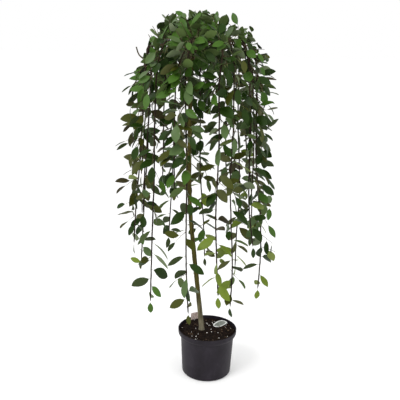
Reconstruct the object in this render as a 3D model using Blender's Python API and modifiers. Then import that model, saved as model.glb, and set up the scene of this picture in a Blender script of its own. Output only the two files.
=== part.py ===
"""A weeping willow grafted on a straight stem, growing in a nursery pot.

The pot stands on z = 0 with its centre at the origin. It is filled with
compost, and the trunk rises from the compost with a slight lean to a
swollen graft at the head. Boughs arch out of the head, and at the end of
each bough hangs one mass of foliage: whips, side shoots and leaves that
grow by a seeded rule and keep to their own sector of the crown.
"""
import math
import random
from collections import namedtuple

import bmesh
import bpy
from mathutils import Matrix, Vector
from mathutils.bvhtree import BVHTree

GAP = 0.0003                    # clearance between pieces that touch
UP = Vector((0.0, 0.0, 1.0))

# Nursery pot, about ten litres
POT_HEIGHT = 0.225
POT_STEPS = 32                  # facets round the pot
COLLAR_RADIUS = 0.140           # outside of the widened collar under the rim
COLLAR_HEIGHT = 0.026
COLLAR_STEP = 0.010             # how far the collar stands out of the body
BODY_TOP_RADIUS = 0.1275
BODY_BASE_RADIUS = 0.1175
BASE_ROUND = 0.012              # rounding between body and underside
WALL = 0.0028
FLOOR = 0.004
DRAIN_HOLES = 6
DRAIN_RADIUS = 0.006
DRAIN_CIRCLE = 0.088
DRAIN_TURN = math.radians(17.0)
DRAIN_SIDES = 9

# Compost
SOIL_TOP = 0.2125
SOIL_GAP = 0.0004               # clearance to the pot all round
SOIL_FLAT = 0.98                # the top dips outside this share of its radius

# Care labels, left blank
LABEL_LENGTH = 0.074
LABEL_WIDTH = 0.056
LABEL_THICKNESS = 0.0009
LABEL_PLACE = (0.063, 0.066)
LABEL_TURN = math.radians(30.0)
TAG_WIDTH = 0.040
TAG_HEIGHT = 0.036
TAG_THICKNESS = 0.0011
TAG_AZIMUTH = math.radians(119.0)
TAG_RADIUS = 0.1315             # distance of the tag's foot from the pot's axis
TAG_LEAN = math.radians(2.0)

# Trunk stations: height, sideways place of the centre line, radius
TRUNK_FOOT = SOIL_TOP + GAP
TRUNK_STATIONS = (
    (TRUNK_FOOT, -0.0270, 0.0170),
    (0.222, -0.0275, 0.0150),
    (0.245, -0.0300, 0.0130),
    (0.330, -0.0400, 0.0120),
    (0.615, -0.0740, 0.0106),
    (0.824, -0.0960, 0.0100),
    (1.017, -0.1035, 0.0096),
    (1.337, -0.1055, 0.0095),
    (1.415, -0.1070, 0.0105),
    (1.445, -0.1075, 0.0150),
    (1.470, -0.1080, 0.0185),
    (1.495, -0.1085, 0.0178),
    (1.515, -0.1090, 0.0130),
    (1.524, -0.1092, 0.0070),
)
TRUNK_SMOOTHING = 2             # steps between two stations
TRUNK_SIDES = 10

# Crown
CROWN_X = -0.0625               # the crown's own axis stands beside the pot's
INNER_RADIUS = 0.150            # wall between inner and outer masses
CROWN_RADIUS = 0.362
CROWN_TOP = 1.702
DOME = 4.5                      # how fast the top falls away from DOME_FLAT
DOME_FLAT = 0.12
HEM = 0.350
RING_RADIUS = 0.247             # where the whips hang, at RING_HEIGHT
RING_HEIGHT = 1.350
RING_SPREAD = 0.061             # outward drift for each metre of hang
SPACE_GAP = 0.0015              # clearance between the spaces of two masses
LIMB_CLEAR = 0.0015             # clearance of leaves from boughs and trunk

# Boughs
HEAD_LEVELS = (1.482, 1.456)    # outer boughs leave the graft at two levels
INNER_LEVEL = 1.500             # inner boughs leave the top of the graft
COLLAR_LENGTH = 0.035           # branch collar, measured from the trunk's axis
INNER_COLLAR_LENGTH = 0.034
COLLAR_SINK = 0.004             # the collar's inner end stops short of the axis
COLLAR_SWELL = 1.25             # its inner end is this much thicker
BOUGH_BASE = 0.0046
BOUGH_TIP = 0.0031
BOUGH_STEPS = 6
BOUGH_SIDES = 6
BOUGH_RISE = math.radians(47.0)
BOUGH_FALL = math.radians(14.0)     # slope at the tip, where the mass takes over
BOUGH_HANDLES = (0.065, 0.055)
INNER_RISE = math.radians(58.0)
INNER_FALL = math.radians(-20.0)
INNER_HANDLES = (0.018, 0.018)

# Outer boughs: reach of the tip from the crown's axis, height of the tip, and
# for each whip its azimuth at the shoulder and at the tip, relative to the
# bough, and the height of its tip
Bough = namedtuple("Bough", ("name", "azimuth", "reach", "height", "whips"))
OUTER_BOUGHS = tuple(Bough(*row) for row in (
    ("right", 356.0, 0.198, 1.552, ((0.0, -7.0, 0.46), (8.0, 7.0, 0.88))),
    ("right_back", 25.0, 0.164, 1.572, ((-2.0, 3.0, 0.66), (8.0, 8.0, 1.02))),
    ("back_right", 52.0, 0.160, 1.586, ((-8.0, -5.0, 0.46), (8.0, 7.0, 0.90))),
    ("back", 89.0, 0.160, 1.590, ((2.0, -6.0, 0.48), (12.0, 9.0, 0.84))),
    ("back_left", 127.0, 0.160, 1.578, ((5.0, 3.0, 0.92), (-9.0, -8.0, 0.60))),
    ("left_back", 157.0, 0.166, 1.570, ((0.0, -3.0, 0.52), (8.0, 7.0, 0.96))),
    ("left", 187.0, 0.205, 1.540, ((0.0, -1.0, 0.66), (8.0, 7.0, 1.06))),
    ("left_front", 222.0, 0.166, 1.566, ((0.0, 8.0, 0.46), (-10.0, -9.0, 0.84))),
    ("front_left", 258.0, 0.160, 1.584, ((-2.0, 7.0, 0.44), (-12.0, -10.0, 0.98))),
    ("front_right", 296.0, 0.160, 1.580, ((-8.0, -8.0, 0.52), (8.0, 4.0, 0.46))),
    ("right_front", 327.0, 0.168, 1.568, ((0.0, 1.0, 0.70), (8.0, 7.0, 0.94))),
))

# Inner boughs, short limbs between the arches: azimuth round the trunk and
# reach of the tip from the trunk's axis
INNER_BOUGHS = ((9.0, 0.072), (60.0, 0.066), (129.0, 0.056), (212.0, 0.054), (290.0, 0.066))
INNER_TIP = 1.562
INNER_STEPS = 4
INNER_FLOOR = 1.120             # the inner masses end here

# Twigs
STEM_RADIUS = 0.0029
TWIG_TIP = 0.0010
SHOOT_RADIUS = 0.0016
COMPANION_AT = 0.035            # where the second whip leaves the first
COMPANION_OPENING = math.radians(38.0)
COMPANION_SHARE = 0.8           # its thickness as a share of the first's
ERECT_AT = (0.012, 0.055, 0.100)
INNER_STEM = 0.040
INNER_SHOOTS_AT = (0.22, 0.50, 0.78, 0.98)
INNER_ERECT_LENGTH = (0.030, 0.055)
INNER_HANG_LENGTH = (0.12, 0.30)
SHOULDER_DROP = 0.190
SHOULDER_STEPS = 5
HANG_STEP = 0.180
SWAY = 0.0055
LATERAL_FIRST = 0.105
LATERAL_SPREAD = 1.75           # each side shoot is this much further along
LATERAL_LENGTH = (0.065, 0.115)
LATERAL_FLOOR = 0.95            # no side shoots lower than this
ERECT_LENGTH = (0.085, 0.130)
SHOOT_STEPS = 2
SHOOT_TRIES = 14
MOST_PARALLEL = 0.80            # cosine of the least angle to the parent

# Leaves
LEAF_LENGTH = (0.066, 0.094)
LEAF_WIDTH = 0.46               # share of the length
LEAF_THICKNESS = 0.0018
LEAF_SIDES_AT = 0.50            # where the blade is widest
LEAF_RIDGE_AT = 0.14            # where the midrib is thickest
LEAF_DROOP = 0.10
LEAF_TURN = math.radians(137.5)
LEAF_TRIES = 8
LEAF_SHRINK = 0.94              # each try is a little smaller
LEAF_SINK = 0.0008              # depth of an end leaf's root in its twig
MERGE = 0.000003                # corners of a union closer than this are one
FUSE_TRIES = 20
FUSE_WAYS = (("EXACT", "BEAUTY"), ("EXACT", "EAR_CLIP"), ("EXACT", "BEAUTY"),
             ("MANIFOLD", "BEAUTY"))
NUDGE = 0.00015                 # how far a piece moves where a union fails
MOST_SCRAPS = 2                 # more loose shells mean a broken union
LEAF_SPACING = {"stem": 0.083, "whip": 0.083, "lateral": 0.036, "erect": 0.028}
LEAF_OPENING = {"stem": (0.85, 1.45), "whip": (0.85, 1.45), "lateral": (0.8, 1.35),
                "erect": (0.5, 1.0)}


def clear_scene():
    for old in list(bpy.data.objects):
        bpy.data.objects.remove(old, do_unlink=True)


def new_collection(name):
    made = bpy.data.collections.new(name)
    bpy.context.scene.collection.children.link(made)
    return made


def plain_material(name, colour, roughness):
    made = bpy.data.materials.new(name)
    made.use_nodes = True
    shader = made.node_tree.nodes["Principled BSDF"]
    shader.inputs["Base Color"].default_value = (*colour, 1.0)
    shader.inputs["Roughness"].default_value = roughness
    shader.inputs["Metallic"].default_value = 0.0
    return made


def add_object(name, mesh, material, collection):
    made = bpy.data.objects.new(name, mesh)
    collection.objects.link(made)
    mesh.materials.clear()
    mesh.materials.append(material)
    return made


def shade_round(mesh, degrees=35.0):
    mesh.shade_smooth()
    mesh.set_sharp_from_angle(angle=math.radians(degrees))


def evaluated_mesh(source):
    bpy.context.view_layer.update()
    graph = bpy.context.evaluated_depsgraph_get()
    return bpy.data.meshes.new_from_object(source.evaluated_get(graph))


# Tubes: trunk, boughs and twigs

def triangle_profile(collection):
    """A three-sided outline of radius 1, the section of every twig."""
    data = bpy.data.curves.new("twig_section", "CURVE")
    data.dimensions = "2D"
    spline = data.splines.new("POLY")
    spline.points.add(2)
    for index, point in enumerate(spline.points):
        angle = math.radians(90.0 - 120.0 * index)
        point.co = (math.cos(angle), math.sin(angle), 0.0, 1.0)
    spline.use_cyclic_u = True
    made = bpy.data.objects.new("twig_section", data)
    made.hide_render = True
    made.display_type = "WIRE"
    collection.objects.link(made)
    return made


def tube_mesh(points, radii, sides, section=None):
    """A tapering tube along the points, as one closed mesh."""
    data = bpy.data.curves.new("tube", "CURVE")
    data.dimensions = "3D"
    data.use_fill_caps = True
    if section:
        data.bevel_mode = "OBJECT"
        data.bevel_object = section
    else:
        data.bevel_depth = 1.0
        data.bevel_resolution = (sides - 4) // 2
    spline = data.splines.new("POLY")
    spline.points.add(len(points) - 1)
    for target, place, radius in zip(spline.points, points, radii):
        target.co = (*place, 1.0)
        target.radius = radius
    guide = bpy.data.objects.new("tube", data)
    bpy.context.scene.collection.objects.link(guide)
    mesh = evaluated_mesh(guide)
    bpy.data.objects.remove(guide, do_unlink=True)
    shell = bmesh.new()
    shell.from_mesh(mesh)
    bmesh.ops.remove_doubles(shell, verts=shell.verts, dist=0.00001)
    bmesh.ops.recalc_face_normals(shell, faces=shell.faces)
    shell.to_mesh(mesh)
    shell.free()
    return mesh


def bezier(start, first, second, end, steps):
    """Points along a cubic curve, both ends included."""
    points = []
    for step in range(steps + 1):
        t = step / steps
        s = 1.0 - t
        points.append(start * s ** 3 + first * 3.0 * s * s * t
                      + second * 3.0 * s * t * t + end * t ** 3)
    return points


def taper(first, last, count):
    return [first + (last - first) * step / (count - 1) for step in range(count)]


def crown_point(azimuth, reach, height):
    """A place given by its azimuth (degrees) and reach from the crown's axis."""
    angle = math.radians(azimuth)
    return Vector((CROWN_X + reach * math.cos(angle), reach * math.sin(angle), height))


def ring_radius(height):
    return RING_RADIUS + RING_SPREAD * (RING_HEIGHT - height)


# Pot, compost and labels

def turned(name, profile, material, collection):
    """A profile of (radius, height) pairs, inner or upper side first, turned."""
    mesh = bpy.data.meshes.new(name)
    outline = bmesh.new()
    corners = [outline.verts.new((radius, 0.0, height)) for radius, height in profile]
    for near, far in zip(corners, corners[1:]):
        outline.edges.new((near, far))
    outline.to_mesh(mesh)
    outline.free()
    made = add_object(name, mesh, material, collection)
    screw = made.modifiers.new("turn", "SCREW")
    screw.steps = POT_STEPS
    screw.render_steps = POT_STEPS
    screw.use_merge_vertices = True
    screw.merge_threshold = 0.00001
    screw.use_smooth_shade = True
    return made


def arc(centre, radius, first, last, steps):
    """Points of a profile's round corner; angles in degrees from +X."""
    corner = []
    for step in range(steps + 1):
        angle = math.radians(first + (last - first) * step / steps)
        corner.append((centre[0] + radius * math.cos(angle),
                       centre[1] + radius * math.sin(angle)))
    return corner


def inner_wall():
    """The pot's inside from the middle of its floor up to its lip."""
    collar_foot = POT_HEIGHT - COLLAR_HEIGHT
    inner_top = COLLAR_RADIUS - WALL
    rounding = BASE_ROUND - WALL
    centre = (BODY_BASE_RADIUS - BASE_ROUND, FLOOR + rounding)
    return ([(0.0, FLOOR)]
            + arc(centre, rounding, -90.0, 0.0, 3)
            + [(BODY_TOP_RADIUS - WALL, collar_foot - 0.004),
               (inner_top - 0.0022, collar_foot + 0.003),
               (inner_top - 0.0008, collar_foot + 0.009),
               (inner_top - 0.0004, POT_HEIGHT - 0.003)])


def outer_wall():
    """The pot's outside from its lip down to the middle of its underside."""
    collar_foot = POT_HEIGHT - COLLAR_HEIGHT
    centre = (BODY_BASE_RADIUS - BASE_ROUND, BASE_ROUND)
    return ([(COLLAR_RADIUS - WALL + 0.0006, POT_HEIGHT - 0.0006),
             (COLLAR_RADIUS - 0.0012, POT_HEIGHT),
             (COLLAR_RADIUS - 0.0002, POT_HEIGHT - 0.0012),
             (COLLAR_RADIUS, POT_HEIGHT - 0.004),
             (COLLAR_RADIUS - 0.0008, collar_foot + 0.006),
             (COLLAR_RADIUS - 0.0030, collar_foot + 0.001),
             (COLLAR_RADIUS - COLLAR_STEP, collar_foot - 0.003),
             (BODY_TOP_RADIUS, collar_foot - 0.006)]
            + arc(centre, BASE_ROUND, 0.0, -90.0, 4)
            + [(0.0, 0.0)])


def make_pot(material, collection, cutters):
    pot = turned("pot", inner_wall() + outer_wall(), material, collection)
    for hole in range(DRAIN_HOLES):
        angle = 2.0 * math.pi * hole / DRAIN_HOLES + DRAIN_TURN
        data = bpy.data.meshes.new("drain")
        drill = bmesh.new()
        bmesh.ops.create_cone(drill, cap_ends=True, segments=DRAIN_SIDES,
                              radius1=DRAIN_RADIUS, radius2=DRAIN_RADIUS, depth=FLOOR * 4.0)
        drill.to_mesh(data)
        drill.free()
        cutter = bpy.data.objects.new("drain_cutter", data)
        cutter.location = (DRAIN_CIRCLE * math.cos(angle), DRAIN_CIRCLE * math.sin(angle),
                           FLOOR / 2.0)
        cutter.hide_render = True
        cutter.display_type = "WIRE"
        cutters.objects.link(cutter)
        bore = pot.modifiers.new("drain", "BOOLEAN")
        bore.operation = "DIFFERENCE"
        bore.object = cutter
    return pot


def make_soil(material, collection):
    """Compost that fills the pot up to just under the lip."""
    wall = [(max(0.0, radius - SOIL_GAP), height + SOIL_GAP)
            for radius, height in inner_wall()[:-1]]
    brim = inner_wall()[-1][0] - SOIL_GAP
    profile = [(0.0, SOIL_TOP), (brim * SOIL_FLAT, SOIL_TOP), (brim - 0.001, SOIL_TOP - 0.003)]
    return turned("soil", profile + wall[::-1], material, collection)


def make_label(material, collection):
    """An oval plastic label that lies on the compost."""
    mesh = bpy.data.meshes.new("plant_label")
    plate = bmesh.new()
    bmesh.ops.create_cone(plate, cap_ends=True, segments=20, radius1=0.5, radius2=0.5,
                          depth=LABEL_THICKNESS)
    for corner in plate.verts:
        corner.co.x *= LABEL_LENGTH
        corner.co.y *= LABEL_WIDTH
    place = Vector((*LABEL_PLACE, SOIL_TOP + GAP + LABEL_THICKNESS / 2.0))
    plate.transform(Matrix.Translation(place) @ Matrix.Rotation(LABEL_TURN, 4, "Z"))
    plate.to_mesh(mesh)
    plate.free()
    return add_object("plant_label", mesh, material, collection)


def make_tag(material, collection):
    """A small upright tag pushed in against the pot's back rim."""
    mesh = bpy.data.meshes.new("rim_tag")
    plate = bmesh.new()
    bmesh.ops.create_cube(plate, size=1.0)
    for corner in plate.verts:
        corner.co.x *= TAG_THICKNESS
        corner.co.y *= TAG_WIDTH
        corner.co.z = (corner.co.z + 0.5) * TAG_HEIGHT
    foot = Vector((TAG_RADIUS * math.cos(TAG_AZIMUTH), TAG_RADIUS * math.sin(TAG_AZIMUTH),
                   SOIL_TOP + 1.2 * GAP))
    turn = Matrix.Rotation(TAG_AZIMUTH, 4, "Z") @ Matrix.Rotation(TAG_LEAN, 4, "Y")
    plate.transform(Matrix.Translation(foot) @ turn)
    plate.to_mesh(mesh)
    plate.free()
    return add_object("rim_tag", mesh, material, collection)


# Trunk and boughs

def trunk_line():
    """Centre line and radii of the trunk, smoothed between its stations."""
    stations = [Vector((x, radius, z)) for z, x, radius in TRUNK_STATIONS]
    smooth = []
    last = len(stations) - 1
    for index in range(last):
        before = stations[max(0, index - 1)]
        near = stations[index]
        far = stations[index + 1]
        after = stations[min(last, index + 2)]
        for step in range(TRUNK_SMOOTHING):
            t = step / TRUNK_SMOOTHING
            smooth.append(0.5 * (2.0 * near + (far - before) * t
                                 + (2.0 * before - 5.0 * near + 4.0 * far - after) * t * t
                                 + (3.0 * near - before - 3.0 * far + after) * t ** 3))
    smooth.append(stations[last])
    points = [Vector((place.x, 0.0, place.z)) for place in smooth]
    points[1].x = points[0].x
    radii = [place.y for place in smooth]
    return points, radii


def trunk_centre(height):
    points = trunk_line()[0]
    for near, far in zip(points, points[1:]):
        if near.z <= height <= far.z:
            return near.lerp(far, (height - near.z) / (far.z - near.z))
    return points[-1]


def bough_plan(name, level, collar, rise, tip, fall, handles, steps):
    """Where a bough leaves the trunk and the points of its centre line."""
    axis = trunk_centre(level)
    away = Vector((tip.x - axis.x, tip.y - axis.y, 0.0)).normalized()
    heading = away * math.cos(rise) + UP * math.sin(rise)
    foot = axis + heading * collar
    out = Vector((tip.x - CROWN_X, tip.y, 0.0)).normalized() if fall > 0.0 else away
    tip_heading = out * math.cos(fall) - UP * math.sin(fall)
    start = foot + heading * GAP
    points = bezier(start, start + heading * handles[0], tip - tip_heading * handles[1],
                    tip, steps)
    points[1] = start + heading * (points[1] - start).length
    return {"name": name, "axis": axis, "foot": foot, "heading": heading,
            "points": points, "tip_heading": (points[-1] - points[-2]).normalized()}


def plan_boughs():
    outer = []
    for index, bough in enumerate(OUTER_BOUGHS):
        tip = crown_point(bough.azimuth, bough.reach, bough.height)
        plan = bough_plan(bough.name, HEAD_LEVELS[index % 2], COLLAR_LENGTH, BOUGH_RISE, tip,
                          BOUGH_FALL, BOUGH_HANDLES, BOUGH_STEPS)
        outer.append(plan)
    inner = []
    for index, (azimuth, reach) in enumerate(INNER_BOUGHS):
        axis = trunk_centre(INNER_LEVEL)
        away = Vector((math.cos(math.radians(azimuth)), math.sin(math.radians(azimuth)), 0.0))
        tip = axis + away * reach
        tip.z = INNER_TIP
        plan = bough_plan("inner_%d" % (index + 1), INNER_LEVEL, INNER_COLLAR_LENGTH,
                          INNER_RISE, tip, INNER_FALL, INNER_HANDLES, INNER_STEPS)
        inner.append(plan)
    return outer, inner


def collar_mesh(plan):
    """The branch collar: a short cone from inside the trunk to the bough."""
    length = (plan["foot"] - plan["axis"]).length - COLLAR_SINK
    mesh = bpy.data.meshes.new("collar")
    cone = bmesh.new()
    bmesh.ops.create_cone(cone, cap_ends=True, segments=BOUGH_SIDES,
                          radius1=BOUGH_BASE * COLLAR_SWELL, radius2=BOUGH_BASE, depth=length)
    middle = (plan["foot"] + plan["axis"] + plan["heading"] * COLLAR_SINK) / 2.0
    turn = plan["heading"].to_track_quat("Z", "Y").to_matrix().to_4x4()
    cone.transform(Matrix.Translation(middle) @ turn)
    cone.to_mesh(mesh)
    cone.free()
    return mesh


def bough_radii(plan):
    return taper(BOUGH_BASE, BOUGH_TIP, len(plan["points"]))


# Foliage

def dome_height(reach):
    """The top of the crown at a distance from its axis."""
    return CROWN_TOP - DOME * max(0.0, reach - DOME_FLAT) ** 2


def outer_space(low, high):
    """The sector between two azimuths, outside the inner masses."""
    width = (high - low) % 360.0

    def holds(place):
        x = place.x - CROWN_X
        reach = math.hypot(x, place.y)
        turn = (math.degrees(math.atan2(place.y, x)) - low) % 360.0
        if turn > width:
            return False
        beside = reach * math.sin(math.radians(min(turn, width - turn)))
        return (beside > SPACE_GAP and INNER_RADIUS + 2.0 * SPACE_GAP < reach < CROWN_RADIUS
                and HEM < place.z < dome_height(reach))
    return holds


def inner_space(low, high):
    """A wedge round the trunk, inside the outer masses."""
    width = (high - low) % 360.0
    centre = trunk_centre(INNER_LEVEL)

    def holds(place):
        x = place.x - centre.x
        from_trunk = math.hypot(x, place.y)
        turn = (math.degrees(math.atan2(place.y, x)) - low) % 360.0
        if turn > width:
            return False
        beside = from_trunk * math.sin(math.radians(min(turn, width - turn, 90.0)))
        reach = math.hypot(place.x - CROWN_X, place.y)
        return (beside > SPACE_GAP and reach < INNER_RADIUS - SPACE_GAP
                and INNER_FLOOR < place.z < dome_height(reach))
    return holds


def whip_line(start, heading, top_azimuth, tip_azimuth, tip_height, rng):
    """A weeping whip: over the shoulder in an arch, then straight down."""
    shoulder_height = start.z - SHOULDER_DROP
    shoulder = crown_point(top_azimuth, ring_radius(shoulder_height), shoulder_height)
    out = math.hypot(shoulder.x - start.x, shoulder.y - start.y)
    points = bezier(start, start + heading * out * 0.75,
                    shoulder + UP * SHOULDER_DROP * 0.55, shoulder, SHOULDER_STEPS)
    points[1] = start + heading * (points[1] - start).length
    hang = shoulder_height - tip_height
    steps = max(1, round(hang / HANG_STEP))
    phase = rng.uniform(0.0, 2.0 * math.pi)
    for step in range(1, steps + 1):
        height = shoulder_height - hang * step / steps
        azimuth = top_azimuth + (tip_azimuth - top_azimuth) * step / steps
        sway = SWAY * min(1.0, step / 2.0)
        place = crown_point(azimuth, ring_radius(height) + sway * math.sin(phase + 1.7 * step),
                            height)
        place.x += sway * math.cos(phase + 1.3 * step)
        points.append(place)
    return points


def shoot_line(start, heading, bend, length):
    """A short shoot that sets off along heading and turns towards bend."""
    points = [start]
    for step in range(1, SHOOT_STEPS + 1):
        share = step / SHOOT_STEPS
        way = (heading * (1.0 - 0.7 * share) + bend * 0.7 * share).normalized()
        points.append(points[-1] + way * (length / SHOOT_STEPS))
    return points


def length_of(points):
    return sum((far - near).length for near, far in zip(points, points[1:]))


def along(points, distance):
    """The place and the heading at a distance along a line."""
    for near, far in zip(points, points[1:]):
        step = (far - near).length
        if distance <= step:
            return near.lerp(far, distance / step), (far - near).normalized()
        distance -= step
    return points[-1], (points[-1] - points[-2]).normalized()


def radial(place):
    """The level direction away from the crown's axis."""
    return Vector((place.x - CROWN_X, place.y, 0.0)).normalized()


def turned_about(vector, axis, angle):
    return Matrix.Rotation(angle, 3, axis) @ vector


def add_shoot(twigs, fits, start, parent_heading, kind, length, rng, aim):
    """Try a few short shoots from a place and keep the first that fits."""
    for attempt in range(SHOOT_TRIES):
        heading, bend = aim(rng)
        line = shoot_line(start, heading, bend, length)
        if abs(heading.dot(parent_heading)) < MOST_PARALLEL and fits(line):
            twigs.append((line, SHOOT_RADIUS, TWIG_TIP, kind))
            return
        length *= 0.95


def plan_outer_twigs(bough, whips, azimuth, fits, rng):
    """Main whip, its companions, side shoots and erect shoots of one mass."""
    start = bough["points"][-1] + bough["tip_heading"] * GAP
    twigs = []
    for order, (top, tip, height) in enumerate(whips):
        if order == 0:
            line = whip_line(start, bough["tip_heading"], azimuth + top, azimuth + tip,
                             height, rng)
            twigs.append((line, STEM_RADIUS, TWIG_TIP, "stem"))
        else:
            place, heading = along(twigs[0][0], COMPANION_AT)
            aside = turned_about(heading, UP, math.copysign(COMPANION_OPENING, top))
            line = whip_line(place, aside, azimuth + top, azimuth + tip, height, rng)
            twigs.append((line, STEM_RADIUS * COMPANION_SHARE, TWIG_TIP, "whip"))
    for line, thick, thin, kind in list(twigs):
        total = length_of(line)
        distance = LATERAL_FIRST * rng.uniform(0.8, 1.3)
        side = rng.choice((-1.0, 1.0))
        while distance < total - LATERAL_LENGTH[0]:
            place, heading = along(line, distance)

            def sideways(rng, out=radial(place), side=side):
                way = turned_about(out, UP, rng.uniform(0.2, 1.4) * side)
                return (way - UP * rng.uniform(0.2, 0.7)).normalized(), -UP

            if place.z > LATERAL_FLOOR:
                add_shoot(twigs, fits, place, heading, "lateral",
                          rng.uniform(*LATERAL_LENGTH), rng, sideways)
            side = -side
            distance *= LATERAL_SPREAD * rng.uniform(0.9, 1.1)
    for distance in ERECT_AT:
        place, heading = along(twigs[0][0], distance)

        def upward(rng, out=radial(place)):
            lean = turned_about(out, UP, rng.uniform(-1.3, 1.3))
            return ((UP + lean * rng.uniform(0.15, 0.75)).normalized(),
                    (UP * 1.5 + lean).normalized())

        add_shoot(twigs, fits, place, heading, "erect",
                  rng.uniform(*ERECT_LENGTH), rng, upward)
    return twigs


def plan_inner_twigs(bough, fits, rng):
    """A short stem between the arches; shoots rise and hang from it."""
    start = bough["points"][-1] + bough["tip_heading"] * GAP
    away = Vector((bough["tip_heading"].x, bough["tip_heading"].y, 0.0)).normalized()
    stem = shoot_line(start, bough["tip_heading"], bough["tip_heading"], INNER_STEM)
    twigs = [(stem, STEM_RADIUS, SHOOT_RADIUS, "stem")]

    def upward(rng):
        lean = turned_about(away, UP, rng.uniform(-2.2, 2.2))
        return ((UP + lean * rng.uniform(0.0, 0.7)).normalized(),
                (UP * 2.0 + lean).normalized())

    def downward(rng):
        lean = turned_about(away, UP, rng.uniform(-2.4, 2.4))
        return ((lean + UP * rng.uniform(-0.5, 0.3)).normalized(),
                (lean * rng.uniform(0.1, 0.7) - UP).normalized())

    for share in INNER_SHOOTS_AT:
        place, heading = along(stem, INNER_STEM * share)
        add_shoot(twigs, fits, place, heading, "erect",
                  rng.uniform(*INNER_ERECT_LENGTH), rng, upward)
        add_shoot(twigs, fits, place, heading, "lateral",
                  rng.uniform(*INNER_HANG_LENGTH), rng, downward)
    return twigs


def leaf_mesh(root, heading, normal, length, width):
    """A pointed blade of six faces, flat on top with a midrib under it."""
    side = normal.cross(heading).normalized()
    blade = bmesh.new()
    bmesh.ops.create_uvsphere(blade, u_segments=3, v_segments=2, radius=1.0)
    edges = 0
    for corner in blade.verts:
        pole = corner.co.z
        if abs(pole) > 0.5:
            share = 0.5 + 0.5 * pole
            aside = Vector()
        elif edges < 2:
            share = LEAF_SIDES_AT
            aside = side * width * (edges - 0.5)
            edges += 1
        else:
            share = LEAF_RIDGE_AT
            aside = -normal * LEAF_THICKNESS
        droop = LEAF_DROOP * length * share ** 2
        corner.co = root + heading * length * share + aside - normal * droop
    bmesh.ops.recalc_face_normals(blade, faces=blade.faces)
    mesh = bpy.data.meshes.new("leaf")
    blade.to_mesh(mesh)
    blade.free()
    return mesh


def tree_of(mesh):
    corners = [corner.co for corner in mesh.vertices]
    faces = [tuple(face.vertices) for face in mesh.polygons]
    return BVHTree.FromPolygons(corners, faces)


def leaf_in_space(mesh, space):
    corners = [corner.co for corner in mesh.vertices]
    middle = sum(corners, Vector()) / len(corners)
    probes = corners + [middle] + [corner.lerp(middle, 0.5) for corner in corners]
    return all(space(probe) for probe in probes)


def twig_fits(points, space, guards):
    for near, far in zip(points, points[1:]):
        if not space(far):
            return False
        way = far - near
        if guards.ray_cast(near, way.normalized(), way.length)[0] is not None:
            return False
    return True


def leaf_way(kind, place, heading, turn, bark, rng):
    """A leaf's direction: square out of one of the twig's faces, then open."""
    side = turned_about(heading.orthogonal().normalized(), heading, turn)
    face = bark.ray_cast(place - heading * LEAF_SINK, side)[1]
    if face:
        side = (face - heading * face.dot(heading)).normalized()
    side = turned_about(side, heading, rng.uniform(-0.2, 0.2))
    opening = rng.uniform(*LEAF_OPENING[kind])
    return (heading * math.cos(opening) + side * math.sin(opening)).normalized()


def leaf_meshes(twigs, barks, space, guards, rng):
    """The leaves that fit in the mass's own space, clear of every limb."""
    made = []
    taken = []
    for owner, (points, thick, thin, kind) in enumerate(twigs):
        total = length_of(points)
        others = [bark for index, bark in enumerate(barks) if index != owner]
        count = max(2, int(total / LEAF_SPACING[kind]))
        for number in range(1, count + 1):
            place, heading = along(points, total * number / count)
            size = rng.uniform(*LEAF_LENGTH) * (1.0 - 0.28 * (number / count) ** 3)
            roll = rng.uniform(-0.9, 0.9)
            for attempt in range(LEAF_TRIES):
                size *= LEAF_SHRINK if attempt else 1.0
                if number == count and attempt == 0:
                    way = heading
                else:
                    turn = LEAF_TURN * number + 2.1 * attempt
                    way = leaf_way(kind, place, heading, turn, barks[owner], rng)
                level = UP if abs(way.z) < 0.93 else radial(place)
                normal = (level - way * level.dot(way)).normalized()
                normal = turned_about(normal, way, roll)
                sink = LEAF_SINK if number == count else 0.0
                blade = leaf_mesh(place - heading * sink, way, normal, size, size * LEAF_WIDTH)
                tree = tree_of(blade)
                if (leaf_in_space(blade, space) and not guards.overlap(tree)
                        and not any(other.overlap(tree) for other in others + taken)):
                    made.append(blade)
                    taken.append(tree)
                    break
                bpy.data.meshes.remove(blade)
    return made


def largest_body(shell):
    """Keep the largest shell, which fills sealed hollows and drops scraps."""
    unseen = set(shell.faces)
    bodies = []
    while unseen:
        reached = [unseen.pop()]
        for face in reached:
            for edge in face.edges:
                for other in edge.link_faces:
                    if other in unseen:
                        unseen.discard(other)
                        reached.append(other)
        bodies.append(reached)
    bodies.sort(key=len, reverse=True)
    scraps = [face for body in bodies[1:] for face in body]
    broken = []
    if len(bodies) > 1 + MOST_SCRAPS:
        broken = [body[0].calc_center_median() for body in bodies[1:]]
    bmesh.ops.delete(shell, geom=scraps, context="FACES")
    return broken


def cleaned(mesh, clipping):
    """Tidy a union's mesh; returns places beside each fault that is left."""
    shell = bmesh.new()
    shell.from_mesh(mesh)
    bmesh.ops.remove_doubles(shell, verts=shell.verts, dist=MERGE)
    bmesh.ops.triangulate(shell, faces=shell.faces, ngon_method=clipping)
    faults = largest_body(shell)
    wires = [edge for edge in shell.edges if not edge.link_faces]
    bmesh.ops.delete(shell, geom=wires, context="EDGES")
    faults += [corner.co.copy() for edge in shell.edges if len(edge.link_faces) != 2
               for corner in edge.verts]
    shell.to_mesh(mesh)
    shell.free()
    return faults


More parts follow.
